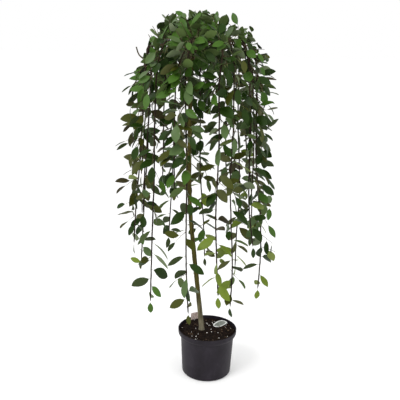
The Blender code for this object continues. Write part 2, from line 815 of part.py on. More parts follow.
def united(name, meshes, solver):
    """The Boolean union of the first mesh with a collection of the others."""
    base = bpy.data.objects.new(name, meshes[0])
    bpy.context.scene.collection.objects.link(base)
    pieces = bpy.data.collections.new(name + "_pieces")
    bpy.context.scene.collection.children.link(pieces)
    for mesh in meshes[1:]:
        pieces.objects.link(bpy.data.objects.new("piece", mesh))
    union = base.modifiers.new("union", "BOOLEAN")
    union.operation = "UNION"
    union.operand_type = "COLLECTION"
    union.collection = pieces
    union.solver = solver
    mesh = evaluated_mesh(base)
    for piece in list(pieces.objects):
        bpy.data.objects.remove(piece, do_unlink=True)
    bpy.data.collections.remove(pieces)
    bpy.data.objects.remove(base, do_unlink=True)
    return mesh


def fuse(name, wood, leaves, material, collection):
    """Join meshes that run into each other into one closed body.

    Where a union doesn't close, the piece at the fault moves a hair aside.
    """
    rng = random.Random(name)
    pieces = wood + leaves
    for attempt in range(FUSE_TRIES):
        solver, clipping = FUSE_WAYS[attempt % len(FUSE_WAYS)]
        mesh = united(name, pieces, solver)
        faults = cleaned(mesh, clipping)
        if not faults:
            break
        movable = [(tree_of(piece), piece) for piece in pieces[1:]]
        piece = min(movable, key=lambda pair: min(
            pair[0].find_nearest(place)[3] for place in faults))[1]
        piece.transform(Matrix.Translation([rng.uniform(-NUDGE, NUDGE) for axis in "xyz"]))
    print("%s: %d twigs, %d leaves, %d triangles, %d faults, try %d"
          % (name, len(wood), len(leaves), len(mesh.polygons), len(faults), attempt + 1))
    return add_object(name, mesh, material, collection)


def make_mass(name, plan, space, guards, section, material, collection):
    """One mass of foliage: its twigs and leaves fused into one solid."""
    rng = random.Random(name)

    def fits(points):
        return twig_fits(points, space, guards)

    twigs = plan(fits, rng)
    wood = [tube_mesh(points, taper(thick, thin, len(points)), 3, section)
            for points, thick, thin, kind in twigs]
    barks = [tree_of(mesh) for mesh in wood]
    leaves = leaf_meshes(twigs, barks, space, guards, rng)
    return fuse(name, wood, leaves, material, collection)


def sector(azimuths, index):
    """The two azimuths half way to a bough's neighbours."""
    before = azimuths[index - 1]
    here = azimuths[index]
    after = azimuths[(index + 1) % len(azimuths)]
    return here - ((here - before) % 360.0) / 2.0, here + ((after - here) % 360.0) / 2.0


def guard_tree(lines):
    """Every limb, thickened by the clearance that leaves keep to it."""
    corners = []
    faces = []
    for points, radii in lines:
        mesh = tube_mesh(points, [radius + LIMB_CLEAR for radius in radii], BOUGH_SIDES)
        first = len(corners)
        corners += [corner.co.copy() for corner in mesh.vertices]
        faces += [tuple(first + index for index in face.vertices) for face in mesh.polygons]
        bpy.data.meshes.remove(mesh)
    return BVHTree.FromPolygons(corners, faces)


def main():
    clear_scene()
    plant = new_collection("potted_weeping_willow")
    cutters = new_collection("cutters")
    plastic = plain_material("pot_black", (0.022, 0.021, 0.027), 0.45)
    compost = plain_material("compost", (0.025, 0.017, 0.012), 0.95)
    label_white = plain_material("label_white", (0.62, 0.66, 0.62), 0.4)
    tag_beige = plain_material("tag_beige", (0.50, 0.42, 0.38), 0.5)
    bark = plain_material("bark", (0.13, 0.12, 0.07), 0.8)
    leaf_green = plain_material("leaf_green", (0.05, 0.12, 0.04), 0.45)
    section = triangle_profile(cutters)

    make_pot(plastic, plant, cutters)
    make_soil(compost, plant)
    make_label(label_white, plant)
    make_tag(tag_beige, plant)

    outer, inner = plan_boughs()
    points, radii = trunk_line()
    stem = tube_mesh(points, radii, TRUNK_SIDES)
    collars = [collar_mesh(plan) for plan in outer + inner]
    trunk = fuse("trunk", [stem] + collars, [], bark, plant)
    shade_round(trunk.data)

    guarded = [(points, radii)]
    for plan in outer + inner:
        radii = bough_radii(plan)
        guarded.append(([plan["axis"]] + plan["points"], [BOUGH_BASE * COLLAR_SWELL] + radii))
        mesh = tube_mesh(plan["points"], radii, BOUGH_SIDES)
        shade_round(mesh, 70.0)
        add_object("bough_" + plan["name"], mesh, bark, plant)
    guards = guard_tree(guarded)

    azimuths = [bough.azimuth for bough in OUTER_BOUGHS]
    for index, (bough, plan) in enumerate(zip(OUTER_BOUGHS, outer)):
        def outer_twigs(fits, rng, bough=bough, plan=plan):
            return plan_outer_twigs(plan, bough.whips, bough.azimuth, fits, rng)

        make_mass("foliage_" + bough.name, outer_twigs, outer_space(*sector(azimuths, index)),
                  guards, section, leaf_green, plant)

    azimuths = [azimuth for azimuth, reach in INNER_BOUGHS]
    for index, plan in enumerate(inner):
        def inner_twigs(fits, rng, plan=plan):
            return plan_inner_twigs(plan, fits, rng)

        make_mass("foliage_" + plan["name"], inner_twigs, inner_space(*sector(azimuths, index)),
                  guards, section, leaf_green, plant)

    bpy.data.objects.remove(section, do_unlink=True)


main()
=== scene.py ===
# %% [markdown]
# # A weeping willow in its nursery pot
# A weeping standard is two plants in one: a straight stem, and grafted on top of it
# a kind whose shoots arch over and then hang straight down. This lesson dresses the
# plain solids of such a plant with a moulded pot, loose compost, barked limbs, thin
# whips and more than a thousand leaves. The solids come first, because every piece
# has to sit where its solid sits.
# %% Load the frame
import math
import random

import bmesh
import bpy
from mathutils import Matrix, Vector
from mathutils.bvhtree import BVHTree


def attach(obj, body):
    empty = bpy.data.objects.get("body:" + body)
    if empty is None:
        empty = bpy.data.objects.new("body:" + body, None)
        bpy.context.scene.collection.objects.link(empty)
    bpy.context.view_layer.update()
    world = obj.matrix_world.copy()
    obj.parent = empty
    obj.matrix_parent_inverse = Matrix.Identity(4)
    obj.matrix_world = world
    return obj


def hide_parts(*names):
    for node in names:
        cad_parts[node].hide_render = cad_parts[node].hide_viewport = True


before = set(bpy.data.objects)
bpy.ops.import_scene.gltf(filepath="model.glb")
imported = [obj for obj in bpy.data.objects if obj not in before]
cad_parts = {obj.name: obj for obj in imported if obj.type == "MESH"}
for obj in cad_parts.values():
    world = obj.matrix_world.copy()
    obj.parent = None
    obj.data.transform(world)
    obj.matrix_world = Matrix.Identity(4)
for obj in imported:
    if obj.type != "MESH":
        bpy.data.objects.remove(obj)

UP = Vector((0.0, 0.0, 1.0))
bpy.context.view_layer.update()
print("solids in the frame:", len(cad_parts))

# %% [markdown]
# ## Camera, floor and light
# The camera stands a little under three metres away, at about the height of the
# plant's head, and looks down by fifteen degrees, so that the compost shows inside
# the rim. It is tilted sideways by one and a half degrees, as a hand-held camera is.
# Turning about the camera's own axes is easiest with one matrix after another.
# %% Camera
CAMERA_PLACE = (-0.0515, -2.86, 1.65)
CAMERA_DOWN = math.radians(15.4)
CAMERA_ROLL = math.radians(1.5)
CAMERA_LENS = 58.5
FILM_WIDTH = 36.0

bpy.ops.object.camera_add()
camera = bpy.context.active_object
camera.name = "camera"
camera.data.sensor_width = FILM_WIDTH
camera.data.lens = CAMERA_LENS
camera.matrix_world = (Matrix.Translation(CAMERA_PLACE)
                       @ Matrix.Rotation(math.pi / 2.0 - CAMERA_DOWN, 4, "X")
                       @ Matrix.Rotation(CAMERA_ROLL, 4, "Z"))
bpy.context.scene.camera = camera
print("camera lens:", camera.data.lens, "mm")

# %% [markdown]
# A pale floor that runs to the horizon and a pale sky make the soft, even light of a
# bright overcast day. The floor glows a little, so that it is as light as the sky and
# no horizon shows between them.
# %% Floor and sky
FLOOR_SIZE = 60.0
FLOOR_HEIGHT = -0.0005
FLOOR_SHADE = 0.94
FLOOR_GLOW = 0.08
SKY_STRENGTH = 1.0
WHITE = (1.0, 1.0, 1.0, 1.0)


def plain_material(name, colour, roughness, specular=0.5):
    """A material of one colour, with its Principled shader."""
    made = bpy.data.materials.new(name)
    made.use_nodes = True
    shader = made.node_tree.nodes["Principled BSDF"]
    shader.inputs["Base Color"].default_value = (*colour, 1.0)
    shader.inputs["Roughness"].default_value = roughness
    shader.inputs["Specular IOR Level"].default_value = specular
    return made


bpy.ops.mesh.primitive_plane_add(size=FLOOR_SIZE, location=(0.0, 0.0, FLOOR_HEIGHT))
floor = bpy.context.active_object
floor.name = "floor"
pale_floor = plain_material("pale_floor", (FLOOR_SHADE, FLOOR_SHADE, FLOOR_SHADE), 0.9, 0.0)
shader = pale_floor.node_tree.nodes["Principled BSDF"]
shader.inputs["Emission Color"].default_value = WHITE
shader.inputs["Emission Strength"].default_value = FLOOR_GLOW
floor.data.materials.append(pale_floor)

sky = bpy.data.worlds.new("pale_sky")
sky.use_nodes = True
sky.node_tree.nodes["Background"].inputs["Color"].default_value = WHITE
sky.node_tree.nodes["Background"].inputs["Strength"].default_value = SKY_STRENGTH
bpy.context.scene.world = sky
bpy.context.scene.view_settings.view_transform = "Standard"
print("floor:", FLOOR_SIZE, "metres across")

# %% [markdown]
# One large lamp high on the left gives the leaves a lit side, and a weaker one on the
# right keeps the shaded side open. Both are square and large, so shadows stay soft.
# %% Lamps
# Name, place, what it points at, size and power
LAMPS = (("key", (-2.2, -2.4, 3.6), (-0.06, 0.0, 1.1), 1.6, 90.0),
         ("fill", (2.6, -1.6, 2.0), (-0.06, 0.0, 0.9), 2.2, 18.0))

for name, place, target, size, power in LAMPS:
    bpy.ops.object.light_add(type="AREA", location=place)
    lamp = bpy.context.active_object
    lamp.name = name
    lamp.data.size = size
    lamp.data.energy = power
    lamp.rotation_euler = (Vector(target) - Vector(place)).to_track_quat("-Z", "Y").to_euler()
print("lamps:", [name for name, *_ in LAMPS])

# %% [markdown]
# ## Helpers for modelling by hand
# An operator works on whatever is selected, and what was loaded or added last still is.
# So each piece starts with nothing selected, and is shaped in edit mode, where its
# parts are chosen by their place.
# %% Select and name
def deselect_all():
    if bpy.context.mode != "OBJECT":
        bpy.ops.object.mode_set(mode="OBJECT")
    bpy.ops.object.select_all(action="DESELECT")


def take(made):
    """Make one object the only selected one, and active."""
    deselect_all()
    made.select_set(True)
    bpy.context.view_layer.objects.active = made


def added(name, operator, **values):
    """Add a primitive with nothing else selected, and name it."""
    deselect_all()
    operator(**values)
    made = bpy.context.active_object
    made.name = name
    made.data.name = name
    return made


def edit_all(kind):
    """Go into edit mode with everything selected."""
    bpy.ops.object.mode_set(mode="EDIT")
    bpy.ops.mesh.select_mode(type=kind)
    bpy.ops.mesh.select_all(action="SELECT")


def select_in_edit(made, kind, test):
    """In edit mode, select the vertices or the faces whose place passes a test."""
    bpy.ops.mesh.select_mode(type=kind)
    bpy.ops.mesh.select_all(action="DESELECT")
    shell = bmesh.from_edit_mesh(made.data)
    for part in shell.verts if kind == "VERT" else shell.faces:
        if test(part.co if kind == "VERT" else part.calc_center_median()):
            part.select_set(True)
    shell.select_flush_mode()
    bmesh.update_edit_mesh(made.data)


print("still selected:", [left.name for left in bpy.context.selected_objects])

# %% [markdown]
# Every piece is finished by one helper. It settles the piece's place into its mesh,
# gives it its materials, smooths it up to an angle, ties it to the frame and hides the
# solids it stands for. Clearing a mesh's materials also forgets which face had which, so
# their numbers are kept and given back.
# %% Modifiers and finishing
def add_modifier(made, kind, **values):
    modifier = made.modifiers.new(kind.lower(), kind)
    for key, value in values.items():
        setattr(modifier, key, value)


def apply_modifiers(made):
    take(made)
    for modifier in list(made.modifiers):
        bpy.ops.object.modifier_apply(modifier=modifier.name)


def outwards():
    """In edit mode, turn every face outwards and go back to object mode."""
    bpy.ops.mesh.select_all(action="SELECT")
    bpy.ops.mesh.normals_make_consistent(inside=False)
    bpy.ops.object.mode_set(mode="OBJECT")


def finish_piece(made, replaced, materials, smooth):
    """Settle a piece, give it its materials and tie it to the frame."""
    take(made)
    bpy.ops.object.transform_apply(location=True, rotation=True, scale=True)
    numbers = [face.material_index for face in made.data.polygons]
    made.data.materials.clear()
    for material in materials:
        made.data.materials.append(material)
    for face, number in zip(made.data.polygons, numbers):
        face.material_index = number
    if smooth:
        bpy.ops.object.shade_smooth_by_angle(angle=math.radians(smooth))
    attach(made, "root")
    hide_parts(*replaced)
    print("%s: %d faces" % (made.name, len(made.data.polygons)))


print("modelling helpers ready")

# %% [markdown]
# Materials are built from a few small blocks: a texture on the piece's own
# coordinates, a ramp that turns it into colour, and a bump that turns it into relief.
# One helper for each block keeps every finish short and easy to read.
# %% Material helpers
NOISE = "ShaderNodeTexNoise"
CELLS = "ShaderNodeTexVoronoi"
BLACK = (0.0, 0.0, 0.0)


def pattern(material, kind, stretch=(1.0, 1.0, 1.0), **values):
    """The value of a texture on object coordinates, stretched along the piece's axes."""
    nodes = material.node_tree.nodes
    links = material.node_tree.links
    place = nodes.new("ShaderNodeTexCoord")
    mapping = nodes.new("ShaderNodeMapping")
    mapping.inputs["Scale"].default_value = stretch
    texture = nodes.new(kind)
    for key, value in values.items():
        texture.inputs[key].default_value = value
    links.new(place.outputs["Object"], mapping.inputs["Vector"])
    links.new(mapping.outputs["Vector"], texture.inputs["Vector"])
    return texture.outputs[0]


def ramp(material, source, *stops):
    """Colours dealt out along a value; each stop is a place and a colour."""
    node = material.node_tree.nodes.new("ShaderNodeValToRGB")
    points = node.color_ramp.elements
    while len(points) < len(stops):
        points.new(0.5)
    for point, (place, colour) in zip(points, stops):
        point.position = place
        point.color = (*colour, 1.0)
    material.node_tree.links.new(source, node.inputs["Fac"])
    return node.outputs["Color"]


def mixed(material, share, first, second, blend="MIX"):
    """Mix two colours; share and both colours may be numbers or outputs."""
    node = material.node_tree.nodes.new("ShaderNodeMix")
    node.data_type = "RGBA"
    node.blend_type = blend
    for socket, value in ((node.inputs[0], share), (node.inputs[6], first),
                          (node.inputs[7], second)):
        if isinstance(value, bpy.types.NodeSocket):
            material.node_tree.links.new(value, socket)
        else:
            socket.default_value = value
    return node.outputs[2]


def bumped(material, source, strength, distance, below=None):
    """Relief from a value, on top of the relief below it."""
    node = material.node_tree.nodes.new("ShaderNodeBump")
    node.inputs["Strength"].default_value = strength
    node.inputs["Distance"].default_value = distance
    material.node_tree.links.new(source, node.inputs["Height"])
    if below:
        material.node_tree.links.new(below, node.inputs["Normal"])
    return node.outputs["Normal"]


def wire(material, socket, source):
    shader = material.node_tree.nodes["Principled BSDF"]
    material.node_tree.links.new(source, shader.inputs[socket])


def roughness_from(material, source, low, high):
    """Roughness that varies between two values along a pattern."""
    node = material.node_tree.nodes.new("ShaderNodeMapRange")
    node.inputs["To Min"].default_value = low
    node.inputs["To Max"].default_value = high
    material.node_tree.links.new(source, node.inputs["Value"])
    wire(material, "Roughness", node.outputs["Result"])


def speckled_material(name, colour, roughness, specular, scale, detail, *stops, relief=None):
    """A material whose colour follows one noise, with relief from it where asked."""
    made = plain_material(name, colour, roughness, specular)
    specks = pattern(made, NOISE, Scale=scale, Detail=detail)
    wire(made, "Base Color", ramp(made, specks, *stops))
    if relief:
        wire(made, "Normal", bumped(made, specks, *relief))
    return made


print("material helpers ready")

# %% [markdown]
# ## The pot
# A nursery pot is blow-moulded in black plastic: a slightly tapering body with a
# rounded foot, and a wider collar at the top that stiffens the rim and lets pots
# stack. It could be spun from an outline. Here a circle is extruded ring by ring and
# scaled at each step, as one would raise the wall by hand.
# %% Ring by ring
TOUCHING = 0.00001


def arc(centre, radius, first, last, steps):
    """(radius, height) places round a corner; angles in degrees from level."""
    corner = []
    for step in range(steps + 1):
        angle = math.radians(first + (last - first) * step / steps)
        corner.append((centre[0] + radius * math.cos(angle),
                       centre[1] + radius * math.sin(angle)))
    return corner


def raise_rings(name, profile, segments):
    """Extrude a circle through (radius, height) places and close both ends."""
    first_radius, first_height = profile[0]
    made = added(name, bpy.ops.mesh.primitive_circle_add, vertices=segments,
                 radius=first_radius, location=(0.0, 0.0, first_height))
    bpy.ops.object.transform_apply(location=True)
    edit_all("EDGE")
    for near, far in zip(profile, profile[1:]):
        bpy.ops.mesh.extrude_edges_move(
            TRANSFORM_OT_translate={"value": (0.0, 0.0, far[1] - near[1])})
        share = far[0] / near[0]
        bpy.ops.transform.resize(value=(share, share, 1.0))
    bpy.ops.mesh.edge_face_add()
    select_in_edit(made, "VERT", lambda place: abs(place.z - first_height) < TOUCHING
                   and math.hypot(place.x, place.y) < first_radius + TOUCHING)
    bpy.ops.mesh.edge_face_add()
    outwards()
    return made


print("points in a quarter round:", len(arc((0.0, 0.0), 1.0, -90.0, 0.0, 7)))

# %% The pot's outline
POT_HEIGHT = 0.225
RIM_RADIUS = 0.140
COLLAR_FOOT = 0.199
BODY_TOP = 0.1275
BODY_BASE = 0.1175
FOOT_ROUND = 0.012
LIP_ROUND = 0.0022
WALL = 0.0028
FLOOR_THICK = 0.004
POT_SIDES = 96



def shifted(radius, height, *places):
    """(radius, height) places, given by how far they are from one place."""
    return [(radius + out, height + up) for out, up in places]


body = [(0.020, 0.0), (0.060, 0.0), (0.100, 0.0),
        *arc((BODY_BASE - FOOT_ROUND, FOOT_ROUND), FOOT_ROUND, -90.0, 0.0, 7),
        (0.1192, 0.045), (0.1200, 0.060), (0.1222, 0.100), (0.1250, 0.150),
        *shifted(BODY_TOP, COLLAR_FOOT, (-0.0002, -0.008), (0.0006, -0.0052))]
collar = [*shifted(RIM_RADIUS, COLLAR_FOOT, (-0.0105, -0.0034), (-0.0044, -0.0004),
                   (-0.0020, 0.0028), (-0.0006, 0.0080), (-0.0001, 0.0150)),
          *shifted(RIM_RADIUS, POT_HEIGHT, (-0.0004, -0.0056), (0.0002, -0.0042))]
lip = arc((RIM_RADIUS - 0.0018, POT_HEIGHT - LIP_ROUND), LIP_ROUND, 20.0, 160.0, 6)
inside = [(RIM_RADIUS - 0.0036, POT_HEIGHT - 0.006),
          *shifted(RIM_RADIUS, COLLAR_FOOT, (-0.0038, 0.009), (-0.0052, 0.003)),
          (BODY_TOP - WALL, COLLAR_FOOT - 0.004),
          *shifted(BODY_BASE - WALL, 0.0, (0.002, 0.060), (0.0, FOOT_ROUND)),
          (BODY_BASE - WALL - 0.003, FLOOR_THICK + 0.0025),
          (BODY_BASE - FOOT_ROUND, FLOOR_THICK), (0.060, FLOOR_THICK), (0.020, FLOOR_THICK)]
outline = body + collar + lip + inside
pot = raise_rings("pot_shell", outline, POT_SIDES)
print("pot rings:", len(outline))

# %% [markdown]
# Water has to leave the pot, so its floor has six drain holes. One cylinder is placed,
# copied round the circle, and taken away from the floor with a Boolean modifier.
# %% Drain holes
DRAIN_HOLES = 6
DRAIN_SIDES = 20
DRAIN_RADIUS = 0.006
DRAIN_CIRCLE = 0.088
DRAIN_TURN = math.radians(17.0)

drills = []
for hole in range(DRAIN_HOLES):
    angle = 2.0 * math.pi * hole / DRAIN_HOLES + DRAIN_TURN
    place = (DRAIN_CIRCLE * math.cos(angle), DRAIN_CIRCLE * math.sin(angle), FLOOR_THICK / 2.0)
    drills.append(added("drill", bpy.ops.mesh.primitive_cylinder_add, vertices=DRAIN_SIDES,
                        radius=DRAIN_RADIUS, depth=FLOOR_THICK * 4.0, location=place))
deselect_all()
for drill in drills:
    drill.select_set(True)
bpy.context.view_layer.objects.active = drills[0]
bpy.ops.object.join()
add_modifier(pot, "BOOLEAN", operation="DIFFERENCE", object=drills[0], solver="EXACT")
apply_modifiers(pot)
bpy.data.objects.remove(drills[0], do_unlink=True)
print("pot faces after drilling:", len(pot.data.polygons))

# %% [markdown]
# Black nursery plastic is never quite black: it is a grey with a breath of violet,
# cloudy where the melt has cooled unevenly, and scuffed on the corners. A satin
# roughness and a very fine grain keep its highlights broad.
# %% Pot finish
black_plastic = plain_material("black_nursery_plastic", (0.030, 0.028, 0.034), 0.42, 0.16)
clouds = pattern(black_plastic, NOISE, (1.0, 1.0, 0.6), Scale=16.0, Detail=4.0, Roughness=0.6)
grain = pattern(black_plastic, NOISE, Scale=900.0, Detail=2.0)
scuffs = pattern(black_plastic, NOISE, (1.0, 1.0, 5.0), Scale=70.0, Detail=5.0, Roughness=0.7)
plastic = ramp(black_plastic, clouds, (0.30, (0.008, 0.006, 0.009)),
               (0.55, (0.014, 0.011, 0.016)), (0.80, (0.025, 0.021, 0.028)))
worn = ramp(black_plastic, scuffs, (0.60, BLACK), (0.74, (0.016, 0.015, 0.016)))
wire(black_plastic, "Base Color", mixed(black_plastic, 1.0, plastic, worn, "ADD"))
roughness_from(black_plastic, clouds, 0.40, 0.60)
relief = bumped(black_plastic, clouds, 0.25, 0.004)
wire(black_plastic, "Normal", bumped(black_plastic, grain, 0.12, 0.0004, relief))
finish_piece(pot, ["pot"], [black_plastic], 40.0)

# %% [markdown]
# ## The compost
# Potting compost is a crumbly mix of dark bark and peat with white grains of perlite.
# Its top is never level: it is pressed down at the rim and heaped round the stem. A
# disc with many inset rings gives enough points to displace; the sides then follow
# the pot's wall down to its floor, so the pot is really full.
# %% Relief by displacement
def displaced(made, size, strength, direction="NORMAL", stretch=1.0):
    """Apply one displacement by a cloud texture, stretched along Z if asked."""
    texture = bpy.data.textures.new("relief", "CLOUDS")
    texture.noise_scale = size
    guide = bpy.data.objects.new("relief_guide", None)
    guide.scale = (1.0, 1.0, stretch)
    bpy.context.scene.collection.objects.link(guide)
    bpy.context.view_layer.update()
    add_modifier(made, "DISPLACE", texture=texture, strength=strength, mid_level=0.5,
                 direction=direction, texture_coords="OBJECT", texture_coords_object=guide)
    apply_modifiers(made)
    bpy.data.objects.remove(guide, do_unlink=True)


print("relief helper ready")

# %% Compost top
SOIL_TOP = 0.2125
SOIL_EDGE = 0.1352
SOIL_POINTS = 96
SOIL_RINGS = 28
CLODS = (0.020, 0.0070)
CRUMBLE = (0.006, 0.0045)
TRUNK_FOOT_X = -0.027
HEAP = 0.005
HEAP_WIDTH = 0.030
EDGE_DIP = 0.003
EDGE_DIP_FROM = 0.85

soil = added("compost", bpy.ops.mesh.primitive_circle_add, vertices=SOIL_POINTS,
             radius=SOIL_EDGE, fill_type="NGON", location=(0.0, 0.0, SOIL_TOP - 0.001))
bpy.ops.object.transform_apply(location=True)
edit_all("FACE")
for ring in range(SOIL_RINGS):
    bpy.ops.mesh.inset(thickness=SOIL_EDGE / (SOIL_RINGS + 1.5))
bpy.ops.object.mode_set(mode="OBJECT")
displaced(soil, *CLODS, "Z")
displaced(soil, *CRUMBLE, "Z")
for corner in soil.data.vertices:
    near_stem = math.hypot(corner.co.x - TRUNK_FOOT_X, corner.co.y)
    corner.co.z += HEAP * math.exp(-(near_stem / HEAP_WIDTH) ** 2)
    edge = math.hypot(corner.co.x, corner.co.y) / SOIL_EDGE
    corner.co.z -= EDGE_DIP * max(0.0, edge - EDGE_DIP_FROM) / (1.0 - EDGE_DIP_FROM)
print("compost top:", round(max(corner.co.z for corner in soil.data.vertices), 4))

# %% Compost sides
# (radius, height) places down the pot's wall
SOIL_SIDES = ((SOIL_EDGE * 0.9995, 0.2020), (0.1240, 0.1950), (0.1142, 0.0130),
              (0.1100, 0.0062), (0.1050, 0.0043))

bpy.ops.object.mode_set(mode="EDIT")
select_in_edit(soil, "VERT", lambda place: math.hypot(place.x, place.y) > SOIL_EDGE - 0.0001)
bpy.ops.mesh.select_mode(type="EDGE")
for radius, height in SOIL_SIDES:
    bpy.ops.mesh.extrude_edges_move(TRANSFORM_OT_translate={"value": (0.0, 0.0, 0.0)})
    shell = bmesh.from_edit_mesh(soil.data)
    for corner in shell.verts:
        if corner.select:
            flat = Vector((corner.co.x, corner.co.y)).normalized() * radius
            corner.co = (flat.x, flat.y, height)
    bmesh.update_edit_mesh(soil.data)
bpy.ops.mesh.edge_face_add()
outwards()
print("compost fills the pot down to", SOIL_SIDES[-1][1])

# %% Compost finish
damp_compost = plain_material("damp_compost", (0.020, 0.014, 0.010), 0.95, 0.06)
clods = pattern(damp_compost, NOISE, Scale=120.0, Detail=8.0, Roughness=0.7)
fibres = pattern(damp_compost, CELLS, Scale=260.0)
earth = ramp(damp_compost, clods, (0.35, (0.003, 0.002, 0.002)),
             (0.52, (0.012, 0.008, 0.006)), (0.68, (0.032, 0.020, 0.014)))
flecks = ramp(damp_compost, fibres, (0.05, (0.060, 0.042, 0.028)), (0.16, BLACK))
wire(damp_compost, "Base Color", mixed(damp_compost, 0.35, earth, flecks, "ADD"))
relief = bumped(damp_compost, clods, 0.9, 0.004)
wire(damp_compost, "Normal", bumped(damp_compost, fibres, 0.5, 0.001, relief))
finish_piece(soil, ["soil"], [damp_compost], 60.0)

# %% [markdown]
# The loose grains on top are what the eye reads as compost. One rough pebble of
# twenty faces is enough for a crumb: hundreds of copies, each turned and squashed in
# its own way and laid where a ray finds the ground, are joined into one mesh. Bark
# crumbs are dark; perlite is chalk white and rounder; a few chips of bark are browner
# and flatter.
# %% One pebble
def ico_pebble():
    """The corners and faces of the smallest icosphere."""
    made = added("pebble", bpy.ops.mesh.primitive_ico_sphere_add, subdivisions=1, radius=1.0)
    corners = [corner.co.copy() for corner in made.data.vertices]
    faces = [tuple(face.vertices) for face in made.data.polygons]
    bpy.data.objects.remove(made, do_unlink=True)
    return corners, faces


def joined_mesh(name, corners, faces):
    """One mesh object from plain lists of corners and faces."""
    mesh = bpy.data.meshes.new(name)
    mesh.from_pydata(corners, [], faces)
    mesh.update()
    made = bpy.data.objects.new(name, mesh)
    bpy.context.scene.collection.objects.link(made)
    return made


PEBBLE, PEBBLE_FACES = ico_pebble()
print("pebble faces:", len(PEBBLE_FACES))

# %% Strew the grains
STEM_CLEAR = 0.018
EDGE_CLEAR = 0.006
GRAIN_SINK = 0.25
GRAIN_TILT = 0.5
# Name, how many, least and greatest size, least and greatest height for that size
GRAINS = (("compost_crumbs", 620, (0.0016, 0.0040), (0.35, 0.8)),
          ("perlite_grains", 32, (0.0016, 0.0034), (0.7, 1.0)),
          ("bark_chips", 58, (0.0018, 0.0042), (0.3, 0.6)))


def ground_height(x, y):
    hit, place, normal, face = soil.ray_cast(Vector((x, y, 0.30)), -UP)
    return place.z if hit else SOIL_TOP


def strewn(name, count, size, flatness, rng):
    """Pebbles strewn over the compost, each with its own size and turn."""
    corners = []
    faces = []
    for grain in range(count):
        reach = (SOIL_EDGE - EDGE_CLEAR) * math.sqrt(rng.random())
        angle = rng.uniform(0.0, 2.0 * math.pi)
        x = reach * math.cos(angle)
        y = reach * math.sin(angle)
        if math.hypot(x - TRUNK_FOOT_X, y) < STEM_CLEAR:
            continue
        scale = rng.uniform(*size)
        stretch = Matrix.Diagonal((scale * rng.uniform(0.8, 1.6), scale * rng.uniform(0.7, 1.1),
                                   scale * rng.uniform(*flatness)))
        turn = (Matrix.Rotation(rng.uniform(0.0, 6.3), 3, "Z")
                @ Matrix.Rotation(rng.uniform(-GRAIN_TILT, GRAIN_TILT), 3, "X"))
        place = Vector((x, y, ground_height(x, y) + scale * GRAIN_SINK))
        first = len(corners)
        for corner in PEBBLE:
            rough = corner * rng.uniform(0.8, 1.15)
            corners.append(place + turn @ (stretch @ rough))
        faces += [tuple(first + index for index in face) for face in PEBBLE_FACES]
    return joined_mesh(name, corners, faces)


crumb_brown = speckled_material(
    "bark_crumb", (0.045, 0.027, 0.017), 0.9, 0.06, 300.0, 3.0, (0.40, (0.006, 0.004, 0.003)),
    (0.55, (0.020, 0.012, 0.009)), (0.68, (0.070, 0.042, 0.028)), relief=(0.6, 0.001))
perlite_white = speckled_material(
    "perlite", (0.72, 0.70, 0.66), 0.85, 0.3, 700.0, 2.0, (0.30, (0.50, 0.47, 0.42)),
    (0.65, (0.82, 0.80, 0.77)), relief=(0.5, 0.0006))
chip_brown = speckled_material(
    "bark_chip", (0.14, 0.085, 0.050), 0.85, 0.12, 240.0, 3.0, (0.30, (0.040, 0.026, 0.016)),
    (0.52, (0.100, 0.062, 0.036)), (0.68, (0.26, 0.19, 0.12)), relief=(0.6, 0.001))
rng = random.Random(41)
for grains, finish in zip(GRAINS, (crumb_brown, perlite_white, chip_brown)):
    finish_piece(strewn(*grains, rng), ["soil"], [finish], 0.0)

# %% [markdown]
# ## Care labels
# An oval plastic label lies on the compost, and a small square tag stands at the back
# of the rim. Both are left blank: a white border round a grey-green field, and plain
# beige. Thin printed plastic is never flat for long, so both are given a slight bend.
# %% Oval label
LABEL_LENGTH = 0.074
LABEL_WIDTH = 0.047
LABEL_PLACE = Vector((0.063, 0.062, SOIL_TOP + 0.0035))
LABEL_TURN = math.radians(30.0)
LABEL_TILT = (math.radians(3.0), math.radians(-2.0))
LABEL_SIDES = 48
LABEL_BORDER = 0.0055
LABEL_RINGS = 4
LABEL_RING = 0.0032
LABEL_WAVE = 0.0030
LABEL_WAVES = 5.0
LABEL_CUP = 0.0088
LABEL_THICK = 0.0007

label = added("plant_label_plate", bpy.ops.mesh.primitive_circle_add, vertices=LABEL_SIDES,
              radius=0.5, fill_type="NGON")
bpy.ops.transform.resize(value=(LABEL_LENGTH, LABEL_WIDTH, 1.0))
bpy.ops.object.transform_apply(scale=True)
edit_all("FACE")
bpy.ops.mesh.inset(thickness=LABEL_BORDER)
for ring in range(LABEL_RINGS):
    bpy.ops.mesh.inset(thickness=LABEL_RING)
bpy.ops.object.mode_set(mode="OBJECT")
for corner in label.data.vertices:
    corner.co.z = (LABEL_WAVE * math.sin(corner.co.x / LABEL_LENGTH * LABEL_WAVES)
                   + LABEL_CUP * (corner.co.y / LABEL_WIDTH) ** 2)
for face in label.data.polygons:
    middle = face.center
    inner = (middle.x / (LABEL_LENGTH / 2.0 - LABEL_BORDER)) ** 2 \
        + (middle.y / (LABEL_WIDTH / 2.0 - LABEL_BORDER)) ** 2
    face.material_index = 1 if inner < 1.0 else 0
add_modifier(label, "SOLIDIFY", thickness=LABEL_THICK, offset=0.0)
apply_modifiers(label)
label.location = LABEL_PLACE
label.rotation_euler = (*LABEL_TILT, LABEL_TURN)
white_card = speckled_material("white_card", (0.78, 0.80, 0.78), 0.35, 0.5, 90.0, 3.0,
                               (0.35, (0.62, 0.63, 0.60)), (0.60, (0.82, 0.84, 0.82)))
green_card = speckled_material("grey_green_card", (0.15, 0.165, 0.14), 0.38, 0.5, 110.0, 3.0,
                               (0.35, (0.10, 0.115, 0.095)), (0.62, (0.19, 0.21, 0.18)))
finish_piece(label, ["plant_label"], [white_card, green_card], 40.0)

